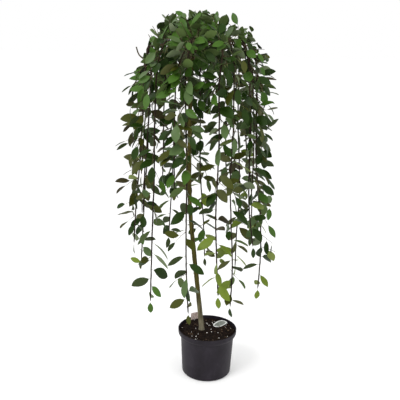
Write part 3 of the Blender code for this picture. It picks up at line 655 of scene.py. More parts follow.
# %% Upright tag
TAG_WIDTH = 0.040
TAG_HEIGHT = 0.036
TAG_THICK = 0.0011
TAG_EDGE = 0.0003
TAG_AZIMUTH = math.radians(119.0)
TAG_RADIUS = 0.1315
TAG_SINK = 0.0010
TAG_CUTS = 9
TAG_BOW = 0.0016
TAG_BOW_TURN = 3.0
TAG_LEAN = 0.0012
TAG_ROUNDING = 0.10
TAG_ROUND_FROM = 0.75

tag = added("rim_tag_plate", bpy.ops.mesh.primitive_plane_add, size=1.0,
            rotation=(0.0, math.pi / 2.0, 0.0))
bpy.ops.object.transform_apply(rotation=True)
edit_all("FACE")
bpy.ops.mesh.subdivide(number_cuts=TAG_CUTS)
bpy.ops.object.mode_set(mode="OBJECT")
for corner in tag.data.vertices:
    across = corner.co.y
    up = corner.co.z + 0.5
    past = max(0.0, up - TAG_ROUND_FROM) / (1.0 - TAG_ROUND_FROM)
    narrowed = 1.0 - TAG_ROUNDING * past * abs(across) * 2.0
    corner.co = Vector((TAG_BOW * math.cos(across * TAG_BOW_TURN) + TAG_LEAN * up * up,
                        across * TAG_WIDTH * narrowed, up * TAG_HEIGHT))
add_modifier(tag, "SOLIDIFY", thickness=TAG_THICK, offset=0.0)
add_modifier(tag, "BEVEL", width=TAG_EDGE, segments=1, limit_method="ANGLE")
apply_modifiers(tag)
tag.location = (TAG_RADIUS * math.cos(TAG_AZIMUTH), TAG_RADIUS * math.sin(TAG_AZIMUTH),
                SOIL_TOP - TAG_SINK)
tag.rotation_euler = (0.0, 0.0, TAG_AZIMUTH)
beige_card = speckled_material("beige_card", (0.50, 0.40, 0.36), 0.5, 0.5, 120.0, 4.0,
                               (0.35, (0.34, 0.25, 0.21)), (0.60, (0.60, 0.50, 0.46)))
finish_piece(tag, ["rim_tag"], [beige_card], 30.0)

# %% [markdown]
# ## The trunk
# The stem is a young willow's: grey and corky at the foot, olive brown and smooth
# higher up, with old bud scars, and swollen at the top where the weeping kind was
# grafted on. Its line is given by a few stations, and a smooth curve through them
# gives the centre and the radius at any height.
# %% Trunk line
# Height, sideways place of the centre line and radius
TRUNK_STATIONS = (
    (0.2128, -0.0270, 0.0170), (0.222, -0.0275, 0.0150), (0.245, -0.0300, 0.0130),
    (0.330, -0.0400, 0.0120), (0.615, -0.0740, 0.0106), (0.824, -0.0960, 0.0100),
    (1.017, -0.1035, 0.0096), (1.337, -0.1055, 0.0095), (1.415, -0.1070, 0.0105),
    (1.445, -0.1075, 0.0150), (1.470, -0.1080, 0.0185), (1.495, -0.1085, 0.0178),
    (1.515, -0.1090, 0.0130), (1.524, -0.1092, 0.0070),
)
TRUNK_FINE = 8


def curve_place(points, index, t):
    """A place after one point of a line, on a smooth curve through all of them."""
    before = points[max(0, index - 1)]
    near = points[index]
    far = points[index + 1]
    after = points[min(len(points) - 1, index + 2)]
    return 0.5 * (2.0 * near + (far - before) * t
                  + (2.0 * before - 5.0 * near + 4.0 * far - after) * t * t
                  + (3.0 * near - before - 3.0 * far + after) * t ** 3)


def trunk_line(steps):
    """Centre line and radii of the trunk, with some steps between its stations."""
    stations = [Vector((x, radius, z)) for z, x, radius in TRUNK_STATIONS]
    smooth = [curve_place(stations, index, step / steps)
              for index in range(len(stations) - 1) for step in range(steps)]
    smooth.append(stations[-1])
    points = [Vector((place.x, 0.0, place.z)) for place in smooth]
    points[1].x = points[0].x
    return points, [place.y for place in smooth]


def trunk_at(height):
    """Centre and radius of the trunk at a height."""
    points, radii = trunk_line(TRUNK_FINE)
    if height <= points[0].z:
        return Vector((points[0].x, 0.0, height)), radii[0]
    for index, (near, far) in enumerate(zip(points, points[1:])):
        if near.z <= height <= far.z:
            share = (height - near.z) / (far.z - near.z)
            return near.lerp(far, share), radii[index] * (1.0 - share) + radii[index + 1] * share
    return points[-1], radii[-1]


print("trunk radius half way up:", round(trunk_at(0.85)[1], 4))

# %% [markdown]
# A circle is extruded up along the leaning line, one short step at a time, and scaled
# to the radius of each height. The steps are finer at the flared foot and the graft.
# %% Raise the trunk
TRUNK_SIDES = 16
TRUNK_FOOT = 0.2070
TRUNK_TOP = 1.523
FLARE_TOP = 0.26
GRAFT_BASE = 1.39
FINE_STEP = 0.008
PLAIN_STEP = 0.018
FOOT_SPREAD = 1.12

heights = [TRUNK_FOOT, TRUNK_STATIONS[0][0]]
while heights[-1] < TRUNK_TOP - 0.0005:
    fine = heights[-1] < FLARE_TOP or heights[-1] > GRAFT_BASE
    heights.append(min(TRUNK_TOP, heights[-1] + (FINE_STEP if fine else PLAIN_STEP)))
centre, radius = trunk_at(heights[0])
radius *= FOOT_SPREAD
trunk = added("trunk_bark", bpy.ops.mesh.primitive_circle_add, vertices=TRUNK_SIDES,
              radius=radius, location=centre, fill_type="NGON")
bpy.ops.object.transform_apply(location=True)
edit_all("FACE")
for height in heights[1:]:
    place, wanted = trunk_at(height)
    bpy.ops.mesh.extrude_region_move(TRANSFORM_OT_translate={"value": place - centre})
    bpy.ops.transform.resize(value=(wanted / radius, wanted / radius, 1.0))
    centre, radius = place, wanted
print("trunk rings:", len(heights))

# %% [markdown]
# Bud scars are single faces inset and pushed out, each turned from the last by about
# the same angle, as buds are. Subdivision rounds everything, and two displacements
# give the bark its relief: long low swellings, and fine ridges along the stem.
# %% Bud scars and relief
SCARS = 19
SCAR_FIRST = 0.262
SCAR_SPACING = 0.0615
SCAR_JITTER = 0.012
SCAR_TURN = 2.4
# The first scar is turned a little, because straight ahead lies an edge, not a face
SCAR_START = -0.01
SCAR_INSET = 0.0010
SCAR_RISE = (0.0012, 0.0026)
SCAR_SHAPE = (0.7, 0.7, 0.35)
SAME_FACE = 0.0002
SWELLINGS = (0.030, 0.0026)
RIDGES = (0.0045, 0.0011)

rng = random.Random(7)
scar_heights = [SCAR_FIRST + SCAR_SPACING * step + rng.uniform(-SCAR_JITTER, SCAR_JITTER)
                for step in range(SCARS)]
for order, height in enumerate(scar_heights):
    middle, wide = trunk_at(height)
    angle = order * SCAR_TURN if order else SCAR_START
    mark = middle + Vector((math.cos(angle), math.sin(angle), 0.0)) * wide
    centres = [face.calc_center_median() for face in bmesh.from_edit_mesh(trunk.data).faces]
    nearest = min(centres, key=lambda place: (place - mark).length)
    select_in_edit(trunk, "FACE", lambda place: (place - nearest).length < SAME_FACE)
    bpy.ops.mesh.inset(thickness=SCAR_INSET)
    bpy.ops.mesh.extrude_region_shrink_fatten(
        TRANSFORM_OT_shrink_fatten={"value": rng.uniform(*SCAR_RISE)})
    bpy.ops.transform.resize(value=SCAR_SHAPE)
outwards()
add_modifier(trunk, "SUBSURF", levels=2, render_levels=2)
apply_modifiers(trunk)
displaced(trunk, *SWELLINGS, stretch=2.0)
displaced(trunk, *RIDGES, stretch=7.0)
print("trunk faces:", len(trunk.data.polygons))

# %% [markdown]
# Bark changes along a limb: grey, cracked cork near the ground gives way to thin green
# and brown skin with pale breathing pores. The colour follows the height, with a noise
# stretched along Z for the streaks, and tiny Voronoi cells for the pores.
# %% Bark finish
def bark_material(name, low, high, pore, streak_scale, low_to, high_from):
    """Bark that runs from one pair of colours up to one height to another pair."""
    made = plain_material(name, high[1], 0.75, 0.12)
    streaks = pattern(made, NOISE, (1.0, 1.0, 0.12), Scale=streak_scale, Detail=6.0,
                      Roughness=0.65)
    blotches = pattern(made, NOISE, (1.0, 1.0, 0.4), Scale=32.0, Detail=3.0)
    pores = pattern(made, CELLS, (1.0, 1.0, 2.2), Scale=150.0)
    foot = ramp(made, streaks, (0.36, low[0]), (0.60, low[1]))
    top = ramp(made, streaks, (0.36, high[0]), (0.62, high[1]))
    place = made.node_tree.nodes.new("ShaderNodeTexCoord")
    parts = made.node_tree.nodes.new("ShaderNodeSeparateXYZ")
    climb = made.node_tree.nodes.new("ShaderNodeMapRange")
    climb.inputs["From Min"].default_value = low_to
    climb.inputs["From Max"].default_value = high_from
    made.node_tree.links.new(place.outputs["Object"], parts.inputs["Vector"])
    made.node_tree.links.new(parts.outputs["Z"], climb.inputs["Value"])
    skin = mixed(made, climb.outputs["Result"], foot, top)
    shade = ramp(made, blotches, (0.35, (0.62, 0.62, 0.62)), (0.65, (1.25, 1.22, 1.15)))
    skin = mixed(made, 0.8, skin, shade, "MULTIPLY")
    spots = ramp(made, pores, (0.05, pore), (0.11, BLACK))
    wire(made, "Base Color", mixed(made, 0.5, skin, spots, "ADD"))
    roughness_from(made, streaks, 0.62, 0.9)
    relief = bumped(made, streaks, 0.55, 0.0016)
    wire(made, "Normal", bumped(made, pores, 0.25, 0.0005, relief))
    return made


trunk_skin = bark_material(
    "willow_bark", ((0.060, 0.053, 0.037), (0.200, 0.184, 0.136)),
    ((0.022, 0.018, 0.004), (0.083, 0.074, 0.014)), (0.08, 0.07, 0.05), 140.0, 0.21, 0.42)
finish_piece(trunk, ["trunk"], [trunk_skin], 60.0)

# %% [markdown]
# ## The boughs
# Eleven boughs leave the graft at a steep angle, arch over and point outwards; five
# short ones fill the crown between them. Each is a tapering tube along a smooth curve.
# Operators could bend a cylinder, but a limb is best drawn as a line of places and
# radii, so one function sweeps a ring of corners along any line. The whips and twigs
# use it too. Every limb swells a little at its buds and flares where it joins.
# %% Sweep a tube along a line
def swept(points, radii, sides):
    """Corners and faces of a closed tube; rings turn as little as they can."""
    corners = []
    faces = []
    across = (points[1] - points[0]).normalized().orthogonal().normalized()
    for index, (place, radius) in enumerate(zip(points, radii)):
        before = points[max(0, index - 1)]
        after = points[min(len(points) - 1, index + 1)]
        heading = (after - before).normalized()
        across = (across - heading * across.dot(heading)).normalized()
        aside = heading.cross(across)
        for side in range(sides):
            angle = 2.0 * math.pi * side / sides
            corners.append(place + (across * math.cos(angle) + aside * math.sin(angle)) * radius)
    for ring in range(len(points) - 1):
        for side in range(sides):
            near = ring * sides
            far = near + sides
            beside = (side + 1) % sides
            faces.append((near + side, near + beside, far + beside, far + side))
    faces.append(tuple(reversed(range(sides))))
    faces.append(tuple(len(corners) - sides + side for side in range(sides)))
    return corners, faces


class Bundle:
    """Corners and faces of many small shapes, gathered for one joined mesh."""

    def __init__(self):
        self.corners = []
        self.faces = []
        self.numbers = []

    def add(self, corners, faces, under=()):
        """Add a shape; the faces of its underside take the second material."""
        first = len(self.corners)
        self.corners += corners
        for number, side in enumerate((faces, under)):
            self.faces += [tuple(first + index for index in face) for face in side]
            self.numbers += [number] * len(side)

    def as_object(self, name):
        made = joined_mesh(name, self.corners, self.faces)
        for face, number in zip(made.data.polygons, self.numbers):
            face.material_index = number
        return made

    def as_tree(self):
        """The same faces, ready to be asked what meets them."""
        return BVHTree.FromPolygons(self.corners, self.faces)


print("sweep of a square rod:", len(swept([Vector(), UP], [1.0, 1.0], 4)[1]), "faces")

# %% Lines
def bezier(start, first, second, end, steps):
    """Points along a cubic curve, both ends included."""
    points = []
    for step in range(steps + 1):
        t = step / steps
        s = 1.0 - t
        points.append(start * s ** 3 + first * 3.0 * s * s * t
                      + second * 3.0 * s * t * t + end * t ** 3)
    return points


def length_of(points):
    return sum((far - near).length for near, far in zip(points, points[1:]))


def smoothed(points, spacing):
    """A rounder line through the points, with a place every so often."""
    line = []
    for index, (near, far) in enumerate(zip(points, points[1:])):
        steps = max(1, round((far - near).length / spacing))
        line += [curve_place(points, index, step / steps) for step in range(steps)]
    line.append(points[-1])
    return line


def jittered(line, amount, rng):
    """The same line, a little uneven."""
    return [place + Vector([rng.uniform(-amount, amount) for axis in "xyz"]) for place in line]


print("points in a curve of six steps:", len(bezier(Vector(), UP, UP, UP, 6)))

# %% Bough sizes
GAP = 0.0003
CROWN_X = -0.0625
HEAD_LEVELS = (1.482, 1.456)
INNER_LEVEL = 1.500
COLLAR_LENGTH = 0.035
INNER_COLLAR_LENGTH = 0.034
BOUGH_RISE = math.radians(47.0)
BOUGH_FALL = math.radians(14.0)
BOUGH_HANDLES = (0.065, 0.055)
BOUGH_STEPS = 6
INNER_RISE = math.radians(58.0)
INNER_FALL = math.radians(-20.0)
INNER_HANDLES = (0.018, 0.018)
INNER_STEPS = 4
INNER_TIP = 1.562
# Name, azimuth, reach of the tip from the crown's axis, height of the tip, and for
# each whip its azimuth at the shoulder and at the tip, and the height of its tip
OUTER_BOUGHS = (
    ("right", 356.0, 0.198, 1.552, ((0.0, -7.0, 0.46), (8.0, 7.0, 0.88))),
    ("right_back", 25.0, 0.164, 1.572, ((-2.0, 3.0, 0.66), (8.0, 8.0, 1.02))),
    ("back_right", 52.0, 0.160, 1.586, ((-8.0, -5.0, 0.46), (8.0, 7.0, 0.90))),
    ("back", 89.0, 0.160, 1.590, ((2.0, -6.0, 0.48), (12.0, 9.0, 0.84))),
    ("back_left", 127.0, 0.160, 1.578, ((5.0, 3.0, 0.92), (-9.0, -8.0, 0.60))),
    ("left_back", 157.0, 0.166, 1.570, ((0.0, -3.0, 0.52), (8.0, 7.0, 0.96))),
    ("left", 187.0, 0.205, 1.540, ((0.0, -1.0, 0.66), (8.0, 7.0, 1.06))),
    ("left_front", 222.0, 0.166, 1.566, ((0.0, 8.0, 0.46), (-10.0, -9.0, 0.84))),
    ("front_left", 258.0, 0.160, 1.584, ((-2.0, 7.0, 0.44), (-12.0, -10.0, 0.98))),
    ("front_right", 296.0, 0.160, 1.580, ((-8.0, -8.0, 0.52), (8.0, 4.0, 0.46))),
    ("right_front", 327.0, 0.168, 1.568, ((0.0, 1.0, 0.70), (8.0, 7.0, 0.94))),
)
# Azimuth round the trunk and reach of the tip from it
INNER_BOUGHS = ((9.0, 0.072), (60.0, 0.066), (129.0, 0.056), (212.0, 0.054), (290.0, 0.066))
print("boughs:", len(OUTER_BOUGHS), "outer and", len(INNER_BOUGHS), "inner")

# %% Bough plans
def crown_point(azimuth, reach, height):
    """A place given by its azimuth (degrees) and reach from the crown's axis."""
    angle = math.radians(azimuth)
    return Vector((CROWN_X + reach * math.cos(angle), reach * math.sin(angle), height))


def bough_plan(name, level, collar, rise, tip, fall, handles, steps):
    """Where a bough leaves the trunk and the points of its centre line."""
    axis = trunk_at(level)[0]
    away = Vector((tip.x - axis.x, tip.y - axis.y, 0.0)).normalized()
    heading = away * math.cos(rise) + UP * math.sin(rise)
    out = Vector((tip.x - CROWN_X, tip.y, 0.0)).normalized() if fall > 0.0 else away
    tip_heading = out * math.cos(fall) - UP * math.sin(fall)
    start = axis + heading * collar + heading * GAP
    points = bezier(start, start + heading * handles[0], tip - tip_heading * handles[1],
                    tip, steps)
    points[1] = start + heading * (points[1] - start).length
    return {"name": name, "axis": axis, "heading": heading, "points": points,
            "tip_heading": (points[-1] - points[-2]).normalized()}


outer = [bough_plan(name, HEAD_LEVELS[index % 2], COLLAR_LENGTH, BOUGH_RISE,
                    crown_point(azimuth, reach, height), BOUGH_FALL, BOUGH_HANDLES,
                    BOUGH_STEPS)
         for index, (name, azimuth, reach, height, whips) in enumerate(OUTER_BOUGHS)]
inner = []
for index, (azimuth, reach) in enumerate(INNER_BOUGHS):
    angle = math.radians(azimuth)
    tip = trunk_at(INNER_LEVEL)[0] + Vector((reach * math.cos(angle),
                                             reach * math.sin(angle), 0.0))
    tip.z = INNER_TIP
    inner.append(bough_plan("inner_%d" % (index + 1), INNER_LEVEL, INNER_COLLAR_LENGTH,
                            INNER_RISE, tip, INNER_FALL, INNER_HANDLES, INNER_STEPS))
boughs = outer + inner
print("boughs planned:", len(boughs))

# %% Grow the boughs
COLLAR_SINK = 0.004
BOUGH_BASE = 0.0046
BOUGH_TIP = 0.0031
BOUGH_SWELL = 1.05
BOUGH_FLARE = 0.9
BOUGH_SPACING = 0.006
BOUGH_JITTER = 0.0006
BOUGH_SIDES = 12
BOUGH_RELIEF = (0.0040, 0.0009)
BUD_SPACING = 0.030
BUD_SWELL = 0.16
FLARE_LENGTH = 0.016


def bark_radii(line, base, tip, rng, flare, spacing):
    """Radii that taper along a line, swell at each bud and flare at the base."""
    total = length_of(line)
    radii = []
    walked = 0.0
    phase = rng.uniform(0.0, 1.0)
    for index, place in enumerate(line):
        if index:
            walked += (place - line[index - 1]).length
        share = walked / total
        swell = max(0.0, math.cos(2.0 * math.pi * (walked / spacing + phase))) ** 4
        joint = math.exp(-(walked / FLARE_LENGTH) ** 2) * flare
        radii.append((base + (tip - base) * share) * (1.0 + BUD_SWELL * swell + joint))
    return radii


limb_shapes = Bundle()
rng = random.Random(19)
for plan in boughs:
    line = smoothed([plan["axis"] + plan["heading"] * COLLAR_SINK] + plan["points"],
                    BOUGH_SPACING)
    line = jittered(line, BOUGH_JITTER, rng)
    radii = bark_radii(line, BOUGH_BASE * BOUGH_SWELL, BOUGH_TIP, rng, BOUGH_FLARE, BUD_SPACING)
    limb_shapes.add(*swept(line, radii, BOUGH_SIDES))
bough_bark = limb_shapes.as_object("bough_bark")
displaced(bough_bark, *BOUGH_RELIEF)
bough_skin = bark_material(
    "bough_bark_skin", ((0.060, 0.042, 0.024), (0.20, 0.16, 0.10)),
    ((0.050, 0.036, 0.020), (0.190, 0.150, 0.090)), (0.14, 0.12, 0.08), 220.0, 0.21, 0.95)
finish_piece(bough_bark, ["bough_" + plan["name"] for plan in boughs],
             [bough_skin], 70.0)

# %% [markdown]
# ## Whips and twigs
# From each outer bough a main whip goes over the shoulder of the crown and hangs
# straight down, and a second whip leaves it near its start. Side shoots stand out from
# both, and upright shoots rise from the top of the arch. Every length and turn is
# drawn from a seeded random source, so the plant grows the same way each time. A shoot
# that would leave its own sector of the crown, or run into a limb, is tried again.
# %% The crown's sectors
INNER_RADIUS = 0.150
CROWN_RADIUS = 0.362
CROWN_TOP = 1.702
DOME = 4.5
DOME_FLAT = 0.12
HEM = 0.350
INNER_FLOOR = 1.120
SPACE_GAP = 0.0015


def dome_height(reach):
    """The top of the crown at a distance from its axis."""
    return CROWN_TOP - DOME * max(0.0, reach - DOME_FLAT) ** 2


def sector(azimuths, index):
    """The two azimuths half way to a bough's neighbours."""
    before = azimuths[index - 1]
    here = azimuths[index]
    after = azimuths[(index + 1) % len(azimuths)]
    return here - ((here - before) % 360.0) / 2.0, here + ((after - here) % 360.0) / 2.0


def space(low, high, centre_x, nearest, furthest, floor):
    """A test for the part of the crown between two azimuths, as seen from a centre."""
    width = (high - low) % 360.0

    def holds(place):
        x = place.x - centre_x
        turn = (math.degrees(math.atan2(place.y, x)) - low) % 360.0
        if turn > width:
            return False
        slant = math.sin(math.radians(min(turn, width - turn, 90.0)))
        reach = math.hypot(place.x - CROWN_X, place.y)
        return (math.hypot(x, place.y) * slant > SPACE_GAP and nearest < reach < furthest
                and floor < place.z < dome_height(reach))
    return holds


print("crown top:", CROWN_TOP, "hem:", HEM)

# %% [markdown]
# The finer twigs and the leaves may cross from one sector to the next, so they are
# only held inside the outline of the whole crown. That outline isn't the same all
# round: the shoulder is bare on the left and low on the right, and the leaves reach
# out a little further low down on the left.
# %% The crown's outline
BARE_FROM = 1.440
BARE_SIDE = -0.225
BARE_SLOPE = 0.25
BARE_TOP = 1.58
LOW_SIDE = 0.10
LOW_SHOULDER = 0.028
WIDE_SIDE = -0.20
WIDE_BELOW = 1.20
WIDE_SPREAD = 0.014
SPREAD = 0.006


def in_crown(place):
    """Whether a place is inside the outline of the crown, clear of its bare shoulder."""
    beside = place.x - CROWN_X
    reach = math.hypot(beside, place.y)
    if place.z > BARE_FROM:
        if beside < BARE_SIDE - BARE_SLOPE * (BARE_TOP - place.z):
            return False
        if beside > LOW_SIDE:
            reach += LOW_SHOULDER
    spread = WIDE_SPREAD if place.z < WIDE_BELOW and beside < WIDE_SIDE else SPREAD
    return reach < CROWN_RADIUS + spread and HEM < place.z < dome_height(reach)


print("the crown's axis is inside:", in_crown(Vector((CROWN_X, 0.0, 1.0))))

# %% Limbs to keep clear of
LIMB_CLEAR = 0.0015
COLLAR_SWELL = 1.25
GUARD_SIDES = 6


def taper(first, last, count):
    return [first + (last - first) * step / (count - 1) for step in range(count)]


limbs = Bundle()
trunk_points, trunk_radii = trunk_line(2)
limbs.add(*swept(trunk_points, [radius + LIMB_CLEAR for radius in trunk_radii], GUARD_SIDES))
for plan in boughs:
    line = [plan["axis"]] + plan["points"]
    radii = [BOUGH_BASE * COLLAR_SWELL] + taper(BOUGH_BASE, BOUGH_TIP, len(plan["points"]))
    limbs.add(*swept(line, [radius + LIMB_CLEAR for radius in radii], GUARD_SIDES))
guards = limbs.as_tree()


def clear_of_limbs(points, holds):
    """Whether a line stays in its space and meets no limb."""
    for near, far in zip(points, points[1:]):
        way = far - near
        if not holds(far) or guards.ray_cast(near, way.normalized(), way.length)[0] is not None:
            return False
    return True


print("limbs to keep clear of:", len(limbs.faces), "faces")

# %% Ways and turns
def radial(place):
    """The level direction away from the crown's axis."""
    return Vector((place.x - CROWN_X, place.y, 0.0)).normalized()


def turned_about(vector, axis, angle):
    return Matrix.Rotation(angle, 3, axis) @ vector


def along(points, distance):
    """The place and the heading at a distance along a line."""
    for near, far in zip(points, points[1:]):
        step = (far - near).length
        if distance <= step:
            return near.lerp(far, distance / step), (far - near).normalized()
        distance -= step
    return points[-1], (points[-1] - points[-2]).normalized()


print("two metres up a short pole:", along([Vector(), UP], 2.0)[0])

# %% One whip
RING_RADIUS = 0.247
RING_HEIGHT = 1.350
RING_SPREAD = 0.061
SHOULDER_DROP = 0.190
SHOULDER_STEPS = 5
SHOULDER_HANDLES = (0.75, 0.55)
HANG_STEP = 0.180
SWAY = 0.0055
SWAY_TURNS = (1.7, 1.3)


def ring_radius(height):
    """How far from the crown's axis the whips hang at a height."""
    return RING_RADIUS + RING_SPREAD * (RING_HEIGHT - height)


def whip_line(start, heading, top_azimuth, tip_azimuth, tip_height, rng):
    """A weeping whip: over the shoulder in an arch, then straight down."""
    shoulder_height = start.z - SHOULDER_DROP
    shoulder = crown_point(top_azimuth, ring_radius(shoulder_height), shoulder_height)
    out = math.hypot(shoulder.x - start.x, shoulder.y - start.y)
    points = bezier(start, start + heading * out * SHOULDER_HANDLES[0],
                    shoulder + UP * SHOULDER_DROP * SHOULDER_HANDLES[1], shoulder,
                    SHOULDER_STEPS)
    points[1] = start + heading * (points[1] - start).length
    hang = shoulder_height - tip_height
    steps = max(1, round(hang / HANG_STEP))
    phase = rng.uniform(0.0, 2.0 * math.pi)
    for step in range(1, steps + 1):
        height = shoulder_height - hang * step / steps
        azimuth = top_azimuth + (tip_azimuth - top_azimuth) * step / steps
        sway = SWAY * min(1.0, step / 2.0)
        reach = ring_radius(height) + sway * math.sin(phase + SWAY_TURNS[0] * step)
        place = crown_point(azimuth, reach, height)
        place.x += sway * math.cos(phase + SWAY_TURNS[1] * step)
        points.append(place)
    return points


print("whips hang", round(ring_radius(HEM), 3), "from the axis at the hem")

# %% One shoot
TWIG_TIP = 0.0010
SHOOT_RADIUS = 0.0016
SHOOT_STEPS = 2
SHOOT_BEND = 0.7
SHOOT_TRIES = 14
SHOOT_SHRINK = 0.95
MOST_PARALLEL = 0.80


def shoot_line(start, heading, bend, length):
    """A short shoot that sets off along heading and turns towards bend."""
    points = [start]
    for step in range(1, SHOOT_STEPS + 1):
        share = step / SHOOT_STEPS
        way = (heading * (1.0 - SHOOT_BEND * share) + bend * SHOOT_BEND * share).normalized()
        points.append(points[-1] + way * (length / SHOOT_STEPS))
    return points


def add_shoot(twigs, holds, start, parent_heading, kind, length, rng, aim):
    """Try a few short shoots from a place and keep the first that fits."""
    for attempt in range(SHOOT_TRIES):
        heading, bend = aim(rng)
        line = shoot_line(start, heading, bend, length)
        if abs(heading.dot(parent_heading)) < MOST_PARALLEL and clear_of_limbs(line, holds):
            twigs.append((line, SHOOT_RADIUS, TWIG_TIP, kind))
            return
        length *= SHOOT_SHRINK


print("places in a shoot:", len(shoot_line(Vector(), UP, UP, 1.0)))

# %% Twigs of one outer mass
STEM_RADIUS = 0.0029
COMPANION_SHARE = 0.8
COMPANION_AT = 0.035
COMPANION_OPENING = math.radians(38.0)
LATERAL_FIRST = 0.105
LATERAL_SPREAD = 1.75
LATERAL_LENGTH = (0.065, 0.115)
LATERAL_FLOOR = 0.95
LATERAL_FAN = (0.2, 1.4)
LATERAL_FALL = (0.2, 0.7)
ERECT_AT = (0.012, 0.055, 0.100)
ERECT_LENGTH = (0.085, 0.130)
ERECT_FAN = 1.3
ERECT_LEAN = (0.15, 0.75)
ERECT_RISE = 1.5


def add_whips(twigs, bough, whips, azimuth, rng):
    """The main whip of a mass, and its companion, which leaves it near its start."""
    for order, (top, tip, height) in enumerate(whips):
        start = bough["points"][-1] + bough["tip_heading"] * GAP
        heading = bough["tip_heading"]
        radius = STEM_RADIUS
        if order:
            start, heading = along(twigs[0][0], COMPANION_AT)
            heading = turned_about(heading, UP, math.copysign(COMPANION_OPENING, top))
            radius *= COMPANION_SHARE
        line = whip_line(start, heading, azimuth + top, azimuth + tip, height, rng)
        twigs.append((line, radius, TWIG_TIP, "whip"))


def add_side_shoots(twigs, line, holds, rng):
    """Side shoots of one whip, left and right in turn and further apart lower down."""
    total = length_of(line)
    distance = LATERAL_FIRST * rng.uniform(0.8, 1.3)
    side = rng.choice((-1.0, 1.0))
    while distance < total - LATERAL_LENGTH[0]:
        place, heading = along(line, distance)

        def sideways(rng, out=radial(place), side=side):
            way = turned_about(out, UP, rng.uniform(*LATERAL_FAN) * side)
            return (way - UP * rng.uniform(*LATERAL_FALL)).normalized(), -UP

        if place.z > LATERAL_FLOOR:
            add_shoot(twigs, holds, place, heading, "lateral", rng.uniform(*LATERAL_LENGTH),
                      rng, sideways)
        side = -side
        distance *= LATERAL_SPREAD * rng.uniform(0.9, 1.1)


def add_upright_shoots(twigs, holds, rng):
    """Upright shoots from the top of a main whip's arch."""
    for distance in ERECT_AT:
        place, heading = along(twigs[0][0], distance)

        def upward(rng, out=radial(place)):
            lean = turned_about(out, UP, rng.uniform(-ERECT_FAN, ERECT_FAN))
            return ((UP + lean * rng.uniform(*ERECT_LEAN)).normalized(),
                    (UP * ERECT_RISE + lean).normalized())

        add_shoot(twigs, holds, place, heading, "erect", rng.uniform(*ERECT_LENGTH), rng, upward)


# Each twig is (line, radius at its start, radius at its tip, kind)
masses = []
azimuths = [row[1] for row in OUTER_BOUGHS]
for index, (name, azimuth, reach, height, whips) in enumerate(OUTER_BOUGHS):
    rng = random.Random("foliage_" + name)
    holds = space(*sector(azimuths, index), CROWN_X, INNER_RADIUS + 2.0 * SPACE_GAP,
                  CROWN_RADIUS, HEM)
    twigs = []
    add_whips(twigs, outer[index], whips, azimuth, rng)
    for line, *_ in list(twigs):
        add_side_shoots(twigs, line, holds, rng)
    add_upright_shoots(twigs, holds, rng)
    masses.append(("foliage_" + name, twigs))
print("outer twigs:", sum(len(twigs) for name, twigs in masses))

# %% Twigs of one inner mass
INNER_STEM = 0.040
INNER_SHOOTS_AT = (0.22, 0.50, 0.78, 0.98)
INNER_ERECT_LENGTH = (0.030, 0.055)
INNER_ERECT_FAN = 2.2
INNER_ERECT_LEAN = (0.0, 0.7)
INNER_ERECT_RISE = 2.0
INNER_HANG_LENGTH = (0.12, 0.30)
INNER_HANG_FAN = 2.4
INNER_HANG_TILT = (-0.5, 0.3)
INNER_HANG_LEAN = (0.1, 0.7)


def plan_inner_twigs(bough, holds, rng):
    """A short stem between the arches; shoots rise and hang from it."""
    ahead = bough["tip_heading"]
    away = Vector((ahead.x, ahead.y, 0.0)).normalized()
    stem = shoot_line(bough["points"][-1] + ahead * GAP, ahead, ahead, INNER_STEM)
    twigs = [(stem, STEM_RADIUS, SHOOT_RADIUS, "whip")]

    def upward(rng):
        lean = turned_about(away, UP, rng.uniform(-INNER_ERECT_FAN, INNER_ERECT_FAN))
        return ((UP + lean * rng.uniform(*INNER_ERECT_LEAN)).normalized(),
                (UP * INNER_ERECT_RISE + lean).normalized())

    def downward(rng):
        lean = turned_about(away, UP, rng.uniform(-INNER_HANG_FAN, INNER_HANG_FAN))
        return ((lean + UP * rng.uniform(*INNER_HANG_TILT)).normalized(),
                (lean * rng.uniform(*INNER_HANG_LEAN) - UP).normalized())

    for share in INNER_SHOOTS_AT:
        place, heading = along(stem, INNER_STEM * share)
        for kind, lengths, aim in (("erect", INNER_ERECT_LENGTH, upward),
                                   ("lateral", INNER_HANG_LENGTH, downward)):
            add_shoot(twigs, holds, place, heading, kind, rng.uniform(*lengths), rng, aim)
    return twigs


azimuths = [azimuth for azimuth, reach in INNER_BOUGHS]
trunk_x = trunk_at(INNER_LEVEL)[0].x
for index, plan in enumerate(inner):
    rng = random.Random("foliage_" + plan["name"])
    holds = space(*sector(azimuths, index), trunk_x, -1.0, INNER_RADIUS - SPACE_GAP,
                  INNER_FLOOR)
    masses.append(("foliage_" + plan["name"], plan_inner_twigs(plan, holds, rng)))
print("twigs in", len(masses), "masses:", sum(len(twigs) for name, twigs in masses))

# %% [markdown]
# ## Finer twigs
# A real whip carries short spurs too thin for a solid model: a few centimetres long,
# close together over the shoulder of the crown and rarer lower down. They grow by the
# same rule, one step finer, and give the top of the crown its dense leafy look. On the
# widest masses the low spurs stand straight out, and fill the crown's sides.
# %% Spurs of the whips
SPUR_RADIUS = 0.0011
SPUR_TIP = 0.0006
SPUR_LENGTH = (0.028, 0.070)
SPUR_FIRST = 0.015
SPUR_END = 0.10
SPUR_FLOOR = 0.55
SPUR_TRIES = 8
SPUR_PARALLEL = 0.9
SPUR_DROOP = 0.4
SPUR_TILT = 0.5
SPUR_UNEVEN = (0.7, 1.3)
SPUR_LIFT = 0.5
SPUR_LIFT_FROM = 1.45
SPUR_SAG = -0.45
SHOULDER = 1.42
WAIST = 1.22
FAN = 2.2
NARROW_FAN = 0.7
WIDE_MASSES = ("foliage_left", "foliage_right")


def spur_spacing(height, wide):
    """Spurs stand close together high up, and far apart below the shoulder."""
    if height > SHOULDER:
        return 0.034
    if wide:
        return 0.085
    return 0.090 if height > WAIST else 0.170


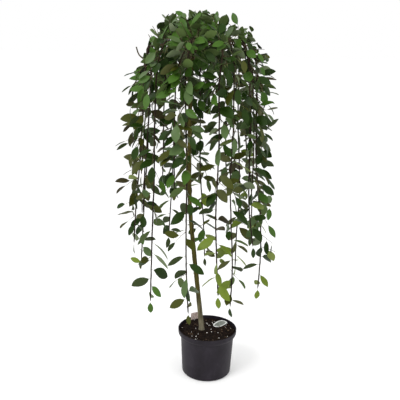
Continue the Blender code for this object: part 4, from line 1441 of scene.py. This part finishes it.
def add_spurs(twigs, rng, wide):
    """Short spurs along the whips of one mass."""
    for line in [line for line, thick, thin, kind in twigs if kind == "whip"]:
        total = length_of(line)
        distance = SPUR_FIRST * rng.uniform(0.6, 1.4)
        while distance < total - SPUR_END:
            place, heading = along(line, distance)
            if place.z < SPUR_FLOOR:
                break
            lift = SPUR_LIFT if place.z > SPUR_LIFT_FROM else SPUR_SAG
            fan = NARROW_FAN if wide and place.z < SHOULDER else FAN
            for attempt in range(SPUR_TRIES):
                way = (turned_about(radial(place), UP, rng.uniform(-fan, fan))
                       + UP * (lift + rng.uniform(-SPUR_TILT, SPUR_TILT))).normalized()
                length = rng.uniform(*SPUR_LENGTH)
                spur = shoot_line(place, way, (way - UP * SPUR_DROOP).normalized(), length)
                if abs(way.dot(heading)) < SPUR_PARALLEL and clear_of_limbs(spur, in_crown):
                    twigs.append((spur, SPUR_RADIUS, SPUR_TIP, "spur"))
                    break
            distance += spur_spacing(place.z, wide) * rng.uniform(*SPUR_UNEVEN)


print("spurs at the shoulder stand", spur_spacing(1.5, False), "apart")

# %% Spurs of the boughs
BOUGH_SPUR_FROM = 0.25
BOUGH_SPUR_TRIES = 10
BOUGH_SPUR_SINK = 1.6
BOUGH_SPUR_BEND = 0.3
BOUGH_SPUR_FAN = (0.6, 2.5)
# Least and greatest rise, added length and spacing, on the outer and the inner boughs
BOUGH_SPURS = {False: ((0.3, 1.6), 0.0, 0.042), True: ((0.3, 3.2), 0.030, 0.020)}


def add_bough_spurs(twigs, bough, rng):
    """Short spurs that rise from the outer part of a bough and cover it with leaves."""
    rise, longer, spacing = BOUGH_SPURS[bough["name"].startswith("inner")]
    total = length_of(bough["points"])
    distance = total * BOUGH_SPUR_FROM
    while distance < total:
        place, heading = along(bough["points"], distance)
        for attempt in range(BOUGH_SPUR_TRIES):
            turn = rng.uniform(*BOUGH_SPUR_FAN) * rng.choice((-1.0, 1.0))
            way = (turned_about(heading, UP, turn) + UP * rng.uniform(*rise)).normalized()
            start = place + way * BOUGH_BASE * BOUGH_SPUR_SINK
            spur = shoot_line(start, way, (way + UP * BOUGH_SPUR_BEND).normalized(),
                              rng.uniform(*SPUR_LENGTH) + longer)
            if clear_of_limbs(spur, in_crown):
                twigs.append(([place] + spur, SPUR_RADIUS, SPUR_TIP, "spur"))
                break
        distance += spacing * rng.uniform(*SPUR_UNEVEN)


for (name, twigs), bough in zip(masses, boughs):
    add_spurs(twigs, random.Random(name + "_spurs"), name in WIDE_MASSES)
    add_bough_spurs(twigs, bough, random.Random(name + "_bough_spurs"))
    twigs[:] = [twig for twig in twigs if twig[3] == "whip" or in_crown(twig[0][-1])]
print("with spurs:", sum(len(twigs) for name, twigs in masses))

# %% [markdown]
# The left arch is the oldest wood: a gnarled limb, thicker than the other whips, with
# the bare stub of a shoot that died back.
# %% Old wood
OLD_MASS = "foliage_left"
OLD_SWELL = 1.1
OLD_BELOW = 1.34
OLD_BLEND = 0.16
OLD_KNOTS = 0.22
OLD_KNOT_PITCH = 190.0
STUB_AT = 0.075
STUB_HALF = 0.036
# Outward and upward part of the way that each half of the stub goes
STUB_WAYS = ((0.75, 0.55), (0.35, 0.95))
STUB_RADIUS = 0.0034
STUB_TIP = 0.0024


def old_wood(place):
    """How much thicker the old limb is at a place: most at the top, none lower down."""
    share = min(1.0, max(0.0, (place.z - OLD_BELOW) / OLD_BLEND))
    return 1.0 + OLD_SWELL * share * (1.0 + OLD_KNOTS * math.sin(place.z * OLD_KNOT_PITCH))


old_twigs = dict(masses)[OLD_MASS]
place, heading = along(old_twigs[0][0], STUB_AT)
stub = [place]
for outward, upward in STUB_WAYS:
    way = radial(place) * outward + UP * upward
    stub.append(stub[-1] + way.normalized() * STUB_HALF)
old_twigs.append((stub, STUB_RADIUS, STUB_TIP, "stub"))
print("stub from", [round(v, 3) for v in stub[0]], "to", [round(v, 3) for v in stub[-1]])

# %% [markdown]
# All the lines are now swept into two meshes, one of whips and one of finer twigs.
# Whips get more sides, more places and wider bud swellings, hold their thickness
# almost to the end, and are pointed by their last two rings.
# %% Twig meshes
STEM_JITTER = 0.0005
STEM_FLARE = 0.25
WHIP_POINT = (0.85, 0.45)
# Place spacing, bud spacing, thickening of the start and of the tip, sides
STEM_SHAPES = {"whip": (0.012, 0.038, 1.22, 3.0, 7), "twig": (0.014, 0.022, 1.0, 1.2, 5)}

stems = {"whip": Bundle(), "twig": Bundle()}
for name, twigs in masses:
    rng = random.Random(name + "_bark")
    for line, thick, thin, kind in twigs:
        sort = "whip" if kind == "whip" else "twig"
        spacing, buds, thicker, blunter, sides = STEM_SHAPES[sort]
        bend = smoothed(line, spacing)
        if sort == "whip":
            bend = bend[:2] + jittered(bend[2:], STEM_JITTER, rng)
        radii = bark_radii(bend, thick * thicker, thin * blunter, rng, STEM_FLARE, buds)
        if sort == "whip":
            if name == OLD_MASS:
                radii = [radius * old_wood(place) for place, radius in zip(bend, radii)]
            radii[-2:] = [radii[-2] * WHIP_POINT[0], radii[-1] * WHIP_POINT[1]]
        stems[sort].add(*swept(bend, radii, sides))
foliage_nodes = [name for name, twigs in masses]
whip_skin = bark_material(
    "whip_bark", ((0.007, 0.004, 0.003), (0.026, 0.015, 0.010)),
    ((0.010, 0.006, 0.004), (0.036, 0.024, 0.015)), (0.03, 0.02, 0.015), 260.0, 0.4, 1.4)
twig_skin = bark_material(
    "twig_bark", ((0.030, 0.022, 0.012), (0.085, 0.060, 0.034)),
    ((0.026, 0.020, 0.010), (0.075, 0.058, 0.030)), (0.04, 0.03, 0.02), 300.0, 0.4, 1.4)
finish_piece(stems["whip"].as_object("whips"), foliage_nodes, [whip_skin], 70.0)
finish_piece(stems["twig"].as_object("twigs"), foliage_nodes, [twig_skin], 70.0)

# %% [markdown]
# ## The leaves
# The leaves are oval with a short point, five to nine centimetres long, dark and
# glossy above and pale grey-green below, and folded a little along the midrib. One
# leaf is laid out as rows of five points, so that it can fold, cup and droop, with a
# thin underside that carries the midrib as a ridge. Each is grown with its own length,
# width, fold and droop, and stands on a short stalk.
# %% The rows of a leaf
# Places along the midrib and the half width there, as shares of the whole
LEAF_ROWS = ((0.06, 0.20), (0.20, 0.66), (0.38, 0.94), (0.56, 1.00), (0.74, 0.82), (0.89, 0.45))
LEAF_ACROSS = (-1.0, -0.52, 0.0, 0.52, 1.0)


def leaf_template():
    """Rows of (along, across, under) places and the faces that join them."""
    rows = len(LEAF_ROWS)
    places = [(0.0, 0.0, 0.0)]
    for share, wide in LEAF_ROWS:
        places += [(share, across * wide, 0.0) for across in LEAF_ACROSS]
    tip = len(places)
    under = tip + 1
    places.append((1.0, 0.0, 0.0))
    places += [(share, 0.0, 1.0) for share, wide in LEAF_ROWS]
    last = tip - 5
    top = [(0, 1 + side, 2 + side) for side in range(4)]
    bottom = [(0, under, 1), (0, 5, under)]
    for row in range(rows - 1):
        near = 1 + row * 5
        far = near + 5
        rib = under + row
        top += [(near + side, far + side, far + side + 1, near + side + 1) for side in range(4)]
        bottom += [(near, rib, rib + 1, far), (near + 4, far + 4, rib + 1, rib)]
    top += [(last + side, tip, last + side + 1) for side in range(4)]
    bottom += [(last, under + rows - 1, tip), (last + 4, tip, under + rows - 1)]
    return places, top, bottom


LEAF_PLACES, LEAF_TOP, LEAF_UNDER = leaf_template()
LEAF_TIP = 1 + 5 * len(LEAF_ROWS)
LEAF_MIDDLE = 18
print("faces in a leaf:", len(LEAF_TOP) + len(LEAF_UNDER))

# %% One leaf
LEAF_FOLD = (0.10, 0.42)
LEAF_DROOP = (0.04, 0.26)
LEAF_CURL = 0.10
LEAF_WAVE = 0.05
LEAF_WAVES = 9.0
LEAF_CUP = 0.06
LEAF_THICK = 0.0005
MIDRIB = 0.0009


def leaf_corners(root, heading, normal, length, width, rng):
    """The corners of one leaf: folded, cupped and drooping in its own way."""
    side = normal.cross(heading).normalized()
    fold = rng.uniform(*LEAF_FOLD)
    droop = rng.uniform(*LEAF_DROOP)
    curl = rng.uniform(-LEAF_CURL, LEAF_CURL)
    wave = rng.uniform(0.0, LEAF_WAVE)
    phase = rng.uniform(0.0, 6.3)
    corners = []
    for share, across, under in LEAF_PLACES:
        out = across * width / 2.0
        lift = abs(across) * width / 2.0 * fold - (across * across) * width * LEAF_CUP
        lift += wave * width * across * math.sin(phase + share * LEAF_WAVES)
        sag = droop * length * share * share
        swing = curl * length * share * share
        depth = (LEAF_THICK + MIDRIB) * under
        corners.append(root + heading * (length * share) + side * (out + swing)
                       + normal * (lift - sag - depth))
    return corners


flat_leaf = leaf_corners(Vector(), Vector((0.0, 1.0, 0.0)), UP, 0.08, 0.04, random.Random(1))
print("corners in a leaf:", len(flat_leaf))

# %% [markdown]
# Leaves stand singly along a twig, each turned by the golden angle from the last, and
# open away from it. They are dealt out along every twig, close together on the short
# shoots and near the tips of the whips, and further apart where the crown is open.
# %% Leaf spacing
SPACING = {"lateral": 0.036, "erect": 0.024, "spur": 0.028}
# Above each height, how far apart the leaves of a whip stand
WHIP_SPACING = ((1.22, 0.046), (0.95, 0.052), (0.65, 0.042), (HEM, 0.032))
MIDDLE_HALF = 0.11
MIDDLE_FACTORS = (0.66, 0.90)
OPEN_LEFT = -0.15
OPEN_RIGHT = 0.20
OPEN_BELOW = 1.42
LEFT_FACTOR = 1.85
RIGHT_FACTOR = 1.65
LOW_LEVEL = 0.95
LOW_FACTOR = 1.15
EDGE_FROM = 0.20
EDGE_ABOVE = 1.30
EDGE_FACTOR = 1.12


def leaf_spacing(kind, height):
    """How far apart the leaves stand on a twig at a height."""
    if kind != "whip":
        return SPACING[kind]
    for level, spacing in WHIP_SPACING:
        if height > level:
            return spacing
    return WHIP_SPACING[-1][1]


def openness(place):
    """How much further apart leaves stand here: the sides are open, the middle is full."""
    beside = place.x - CROWN_X
    if abs(beside) < MIDDLE_HALF:
        return MIDDLE_FACTORS[0] if place.z > LOW_LEVEL else MIDDLE_FACTORS[1]
    if place.z < OPEN_BELOW and (beside < OPEN_LEFT or beside > OPEN_RIGHT):
        if place.z < LOW_LEVEL:
            return LOW_FACTOR
        return LEFT_FACTOR if beside < 0.0 else RIGHT_FACTOR
    return EDGE_FACTOR if abs(beside) > EDGE_FROM and place.z > EDGE_ABOVE else 1.0


print("leaf spacing on a whip's shoulder:", leaf_spacing("whip", 1.3))

# %% [markdown]
# No two leaves touch, and none runs through a limb or a twig. A search tree of the
# faces answers that quickly: a leaf that meets something is turned, made a little
# smaller, and after a few tries left out.
# %% Fit one leaf
LEAF_TURN = math.radians(137.5)
RETRY_TURN = 2.1
LEAF_TRIES = 9
LEAF_SHRINK = 0.94
LEAF_ROLL = 1.35
LEAF_SHAPE = (0.42, 0.56)
LEAF_REACH = 0.075
NEARLY_UPRIGHT = 0.93
LEAF_SIZE = {"whip": (0.070, 0.094), "lateral": (0.070, 0.094), "erect": (0.064, 0.088),
             "spur": (0.060, 0.086)}
LEAF_OPENING = {"whip": (0.85, 1.45), "lateral": (0.7, 1.3), "erect": (0.5, 1.05),
                "spur": (0.6, 1.2)}
# The last leaves of a shoot are not yet grown out, least of all on a whip
YOUNG_SHARES = (0.62, 0.78, 0.90)
STALK = (0.008, 0.014)

shoots = Bundle()
for bundle in stems.values():
    shoots.add(bundle.corners, bundle.faces)
shoot_tree = shoots.as_tree()
taken = []


def is_clear(corners, tree):
    """Whether a leaf stays in the crown and meets no limb, no twig and no other leaf."""
    if not all(in_crown(corner) for corner in (*corners[::6], corners[LEAF_TIP])):
        return False
    if guards.overlap(tree) or shoot_tree.overlap(tree):
        return False
    middle = corners[LEAF_MIDDLE]
    return not any((spot - middle).length < LEAF_REACH and other.overlap(tree)
                   for spot, other in taken)


def fitted_leaf(kind, turned, number, place, heading, rng):
    """Try a leaf at a place until it is clear: its heading, stalk length and corners."""
    size = rng.uniform(*LEAF_SIZE[kind])
    if number < len(YOUNG_SHARES):
        young = YOUNG_SHARES[number]
        size *= young if kind == "whip" else 0.5 + young / 2.0
    roll = rng.uniform(-LEAF_ROLL, LEAF_ROLL)
    for attempt in range(LEAF_TRIES):
        way = heading
        if attempt:
            size *= LEAF_SHRINK
        if number or attempt:
            turn = LEAF_TURN * number + RETRY_TURN * attempt + turned
            side = turned_about(heading.orthogonal().normalized(), heading, turn)
            opening = rng.uniform(*LEAF_OPENING[kind])
            way = (heading * math.cos(opening) + side * math.sin(opening)).normalized()
        level = UP if abs(way.z) < NEARLY_UPRIGHT else radial(place)
        normal = turned_about((level - way * level.dot(way)).normalized(), way, roll)
        stalk = rng.uniform(*STALK)
        width = size * rng.uniform(*LEAF_SHAPE)
        corners = leaf_corners(place + way * stalk, way, normal, size, width, rng)
        tree = BVHTree.FromPolygons(corners, LEAF_TOP)
        if is_clear(corners, tree):
            taken.append((corners[LEAF_MIDDLE], tree))
            return way, stalk, corners
    return None


print("shoots to keep clear of:", len(shoots.faces), "faces")

# %% Place the leaves
WHIP_END = 0.999
LEAVES_FROM = {"whip": 0.012, "lateral": 0.010, "erect": 0.010, "spur": 0.010}
LEAF_UNEVEN = (0.8, 1.2)


def grow_leaves(twigs, rng):
    """Leaves of one mass, as (kind, twig, number, place, heading, stalk, corners)."""
    made = []
    for order, (line, thick, thin, kind) in enumerate(twigs):
        if kind == "stub":
            continue
        distance = length_of(line) * (WHIP_END if kind == "whip" else 1.0)
        number = 0
        while distance > LEAVES_FROM[kind]:
            place, heading = along(line, distance)
            leaf = fitted_leaf(kind, order, number, place, heading, rng)
            if leaf:
                made.append((kind, order, number, place, *leaf))
            number += 1
            step = leaf_spacing(kind, place.z) * openness(place)
            distance -= step * rng.uniform(*LEAF_UNEVEN)
    return made


grown = {name: grow_leaves(twigs, random.Random(name + "_leaves")) for name, twigs in masses}
print("leaves:", len(taken))

# %% [markdown]
# Leaves on one spray opened together, so they share a tint: most are deep green, some
# are olive or tired and brownish, and the youngest, low on the sunny side, are
# yellow-green. Some glossy leaves catch the sky and look blue-green: their sea tint
# is painted reflection, a paler blue-green base colour that stands for the sky they mirror.
# %% Deal out the tints
# Shares of deep, green, sea, olive and tired sprays above each height. The extra green
# and painted sky sheen at the top are painted light on the crown's top; the extra deep green
# lower down is partly painted shade.
GROWN_TINTS = ("deep", "green", "sea", "olive", "tired")
TINT_SHARES = ((1.52, (0.08, 0.63, 0.27, 0.02, 0.00)), (1.30, (0.34, 0.42, 0.14, 0.09, 0.01)),
               (0.0, (0.42, 0.11, 0.13, 0.29, 0.05)))
SPRAY_LEAVES = 3
STRAY = 0.22
SUNNY_FROM = 0.02
YOUNG_TIP_LEAVES = 6
# Below a height, the chance of a young spray on the sunny and on the shaded side
YOUNG_TIPS = (0.95, 0.50, 0.01)
YOUNG_ELSEWHERE = (1.10, 0.16, 0.02)


def tint_for(kind, number, place, rng):
    """Deal out a tint by the spray's place on the plant."""
    sunny = place.x > CROWN_X + SUNNY_FROM
    chances = [YOUNG_ELSEWHERE]
    if kind == "whip" and number < YOUNG_TIP_LEAVES:
        chances.insert(0, YOUNG_TIPS)
    for below, in_sun, in_shade in chances:
        if place.z < below and rng.random() < (in_sun if sunny else in_shade):
            return "young"
    shares = next(shares for above, shares in TINT_SHARES if place.z > above)
    return rng.choices(GROWN_TINTS, shares)[0]


def tinted(leaves, rng):
    """Pair each leaf with its tint: a spray's own, or now and then another."""
    spray_tint = {}
    for kind, order, number, place, *leaf in leaves:
        spray = (order, number // SPRAY_LEAVES)
        if spray not in spray_tint:
            spray_tint[spray] = tint_for(kind, number, place, rng)
        tint = spray_tint[spray]
        if rng.random() < STRAY:
            tint = tint_for(kind, number, place, rng)
        yield tint, place, *leaf


dealt = [leaf for name, leaves in grown.items()
         for leaf in tinted(leaves, random.Random(name + "_tints"))]
print("young leaves:", sum(leaf[0] == "young" for leaf in dealt))

# %% [markdown]
# Each tint is one joined mesh with two plain colours, a glossy one above and a dull
# pale one below. The stalks are a mesh of their own; each runs from inside its twig
# to just inside its leaf, and sags a little on the way.
# %% Join the leaves
LEAF_GLOSS = 0.14
UNDER_ROUGHNESS = 0.62
LEAF_SMOOTH = 50.0
STALK_RADIUS = 0.0007
STALK_ENDS = (1.3, 0.8)
STALK_SINK = 0.003
STALK_SAG = 0.0006
# Name, upper colour, under colour, roughness of the upper side
TINTS = (
    # deep: partly the leaves' own dark green, partly painted shade for leaves in shadow
    ("deep", (0.013, 0.034, 0.002), (0.030, 0.047, 0.012), 0.42),
    ("green", (0.044, 0.102, 0.012), (0.068, 0.106, 0.028), 0.42),
    # sea: a paler blue-green base colour, painted reflection of the sky on glossy leaves
    ("sea", (0.070, 0.116, 0.038), (0.125, 0.160, 0.082), 0.38),
    ("olive", (0.046, 0.054, 0.006), (0.068, 0.074, 0.022), 0.44),
    ("young", (0.120, 0.172, 0.018), (0.165, 0.210, 0.050), 0.42),
    ("tired", (0.040, 0.034, 0.011), (0.064, 0.056, 0.028), 0.50),
)


def leaf_material(name, colour, roughness, relief):
    """One plain colour, with a very fine grain in its relief and roughness."""
    made = plain_material(name, colour, roughness, LEAF_GLOSS)
    fine = pattern(made, NOISE, Scale=420.0, Detail=3.0)
    wire(made, "Normal", bumped(made, fine, relief, 0.0005))
    roughness_from(made, fine, roughness - 0.06, roughness + 0.10)
    return made


blades = {name: Bundle() for name, *_ in TINTS}
stalks = Bundle()
for tint, place, way, length, corners in dealt:
    blades[tint].add(corners, LEAF_TOP, LEAF_UNDER)
    base = place + way * (length + STALK_SINK)
    knee = place.lerp(base, 0.5) - UP * STALK_SAG
    stalks.add(*swept([place, knee, base], [STALK_RADIUS * STALK_ENDS[0], STALK_RADIUS,
                                            STALK_RADIUS * STALK_ENDS[1]], 4))
for name, upper, under, roughness in TINTS:
    finish_piece(blades[name].as_object("leaves_" + name), foliage_nodes,
                 [leaf_material("leaf_%s_upper" % name, upper, roughness, 0.20),
                  leaf_material("leaf_%s_under" % name, under, UNDER_ROUGHNESS, 0.30)],
                 LEAF_SMOOTH)

# %% The stalks
stalk_green = plain_material("leaf_stalk", (0.150, 0.165, 0.055), 0.55)
stalk_haze = pattern(stalk_green, NOISE, Scale=60.0, Detail=2.0)
roughness_from(stalk_green, stalk_haze, 0.45, 0.70)
finish_piece(stalks.as_object("leaf_stalks"), foliage_nodes, [stalk_green], 60.0)
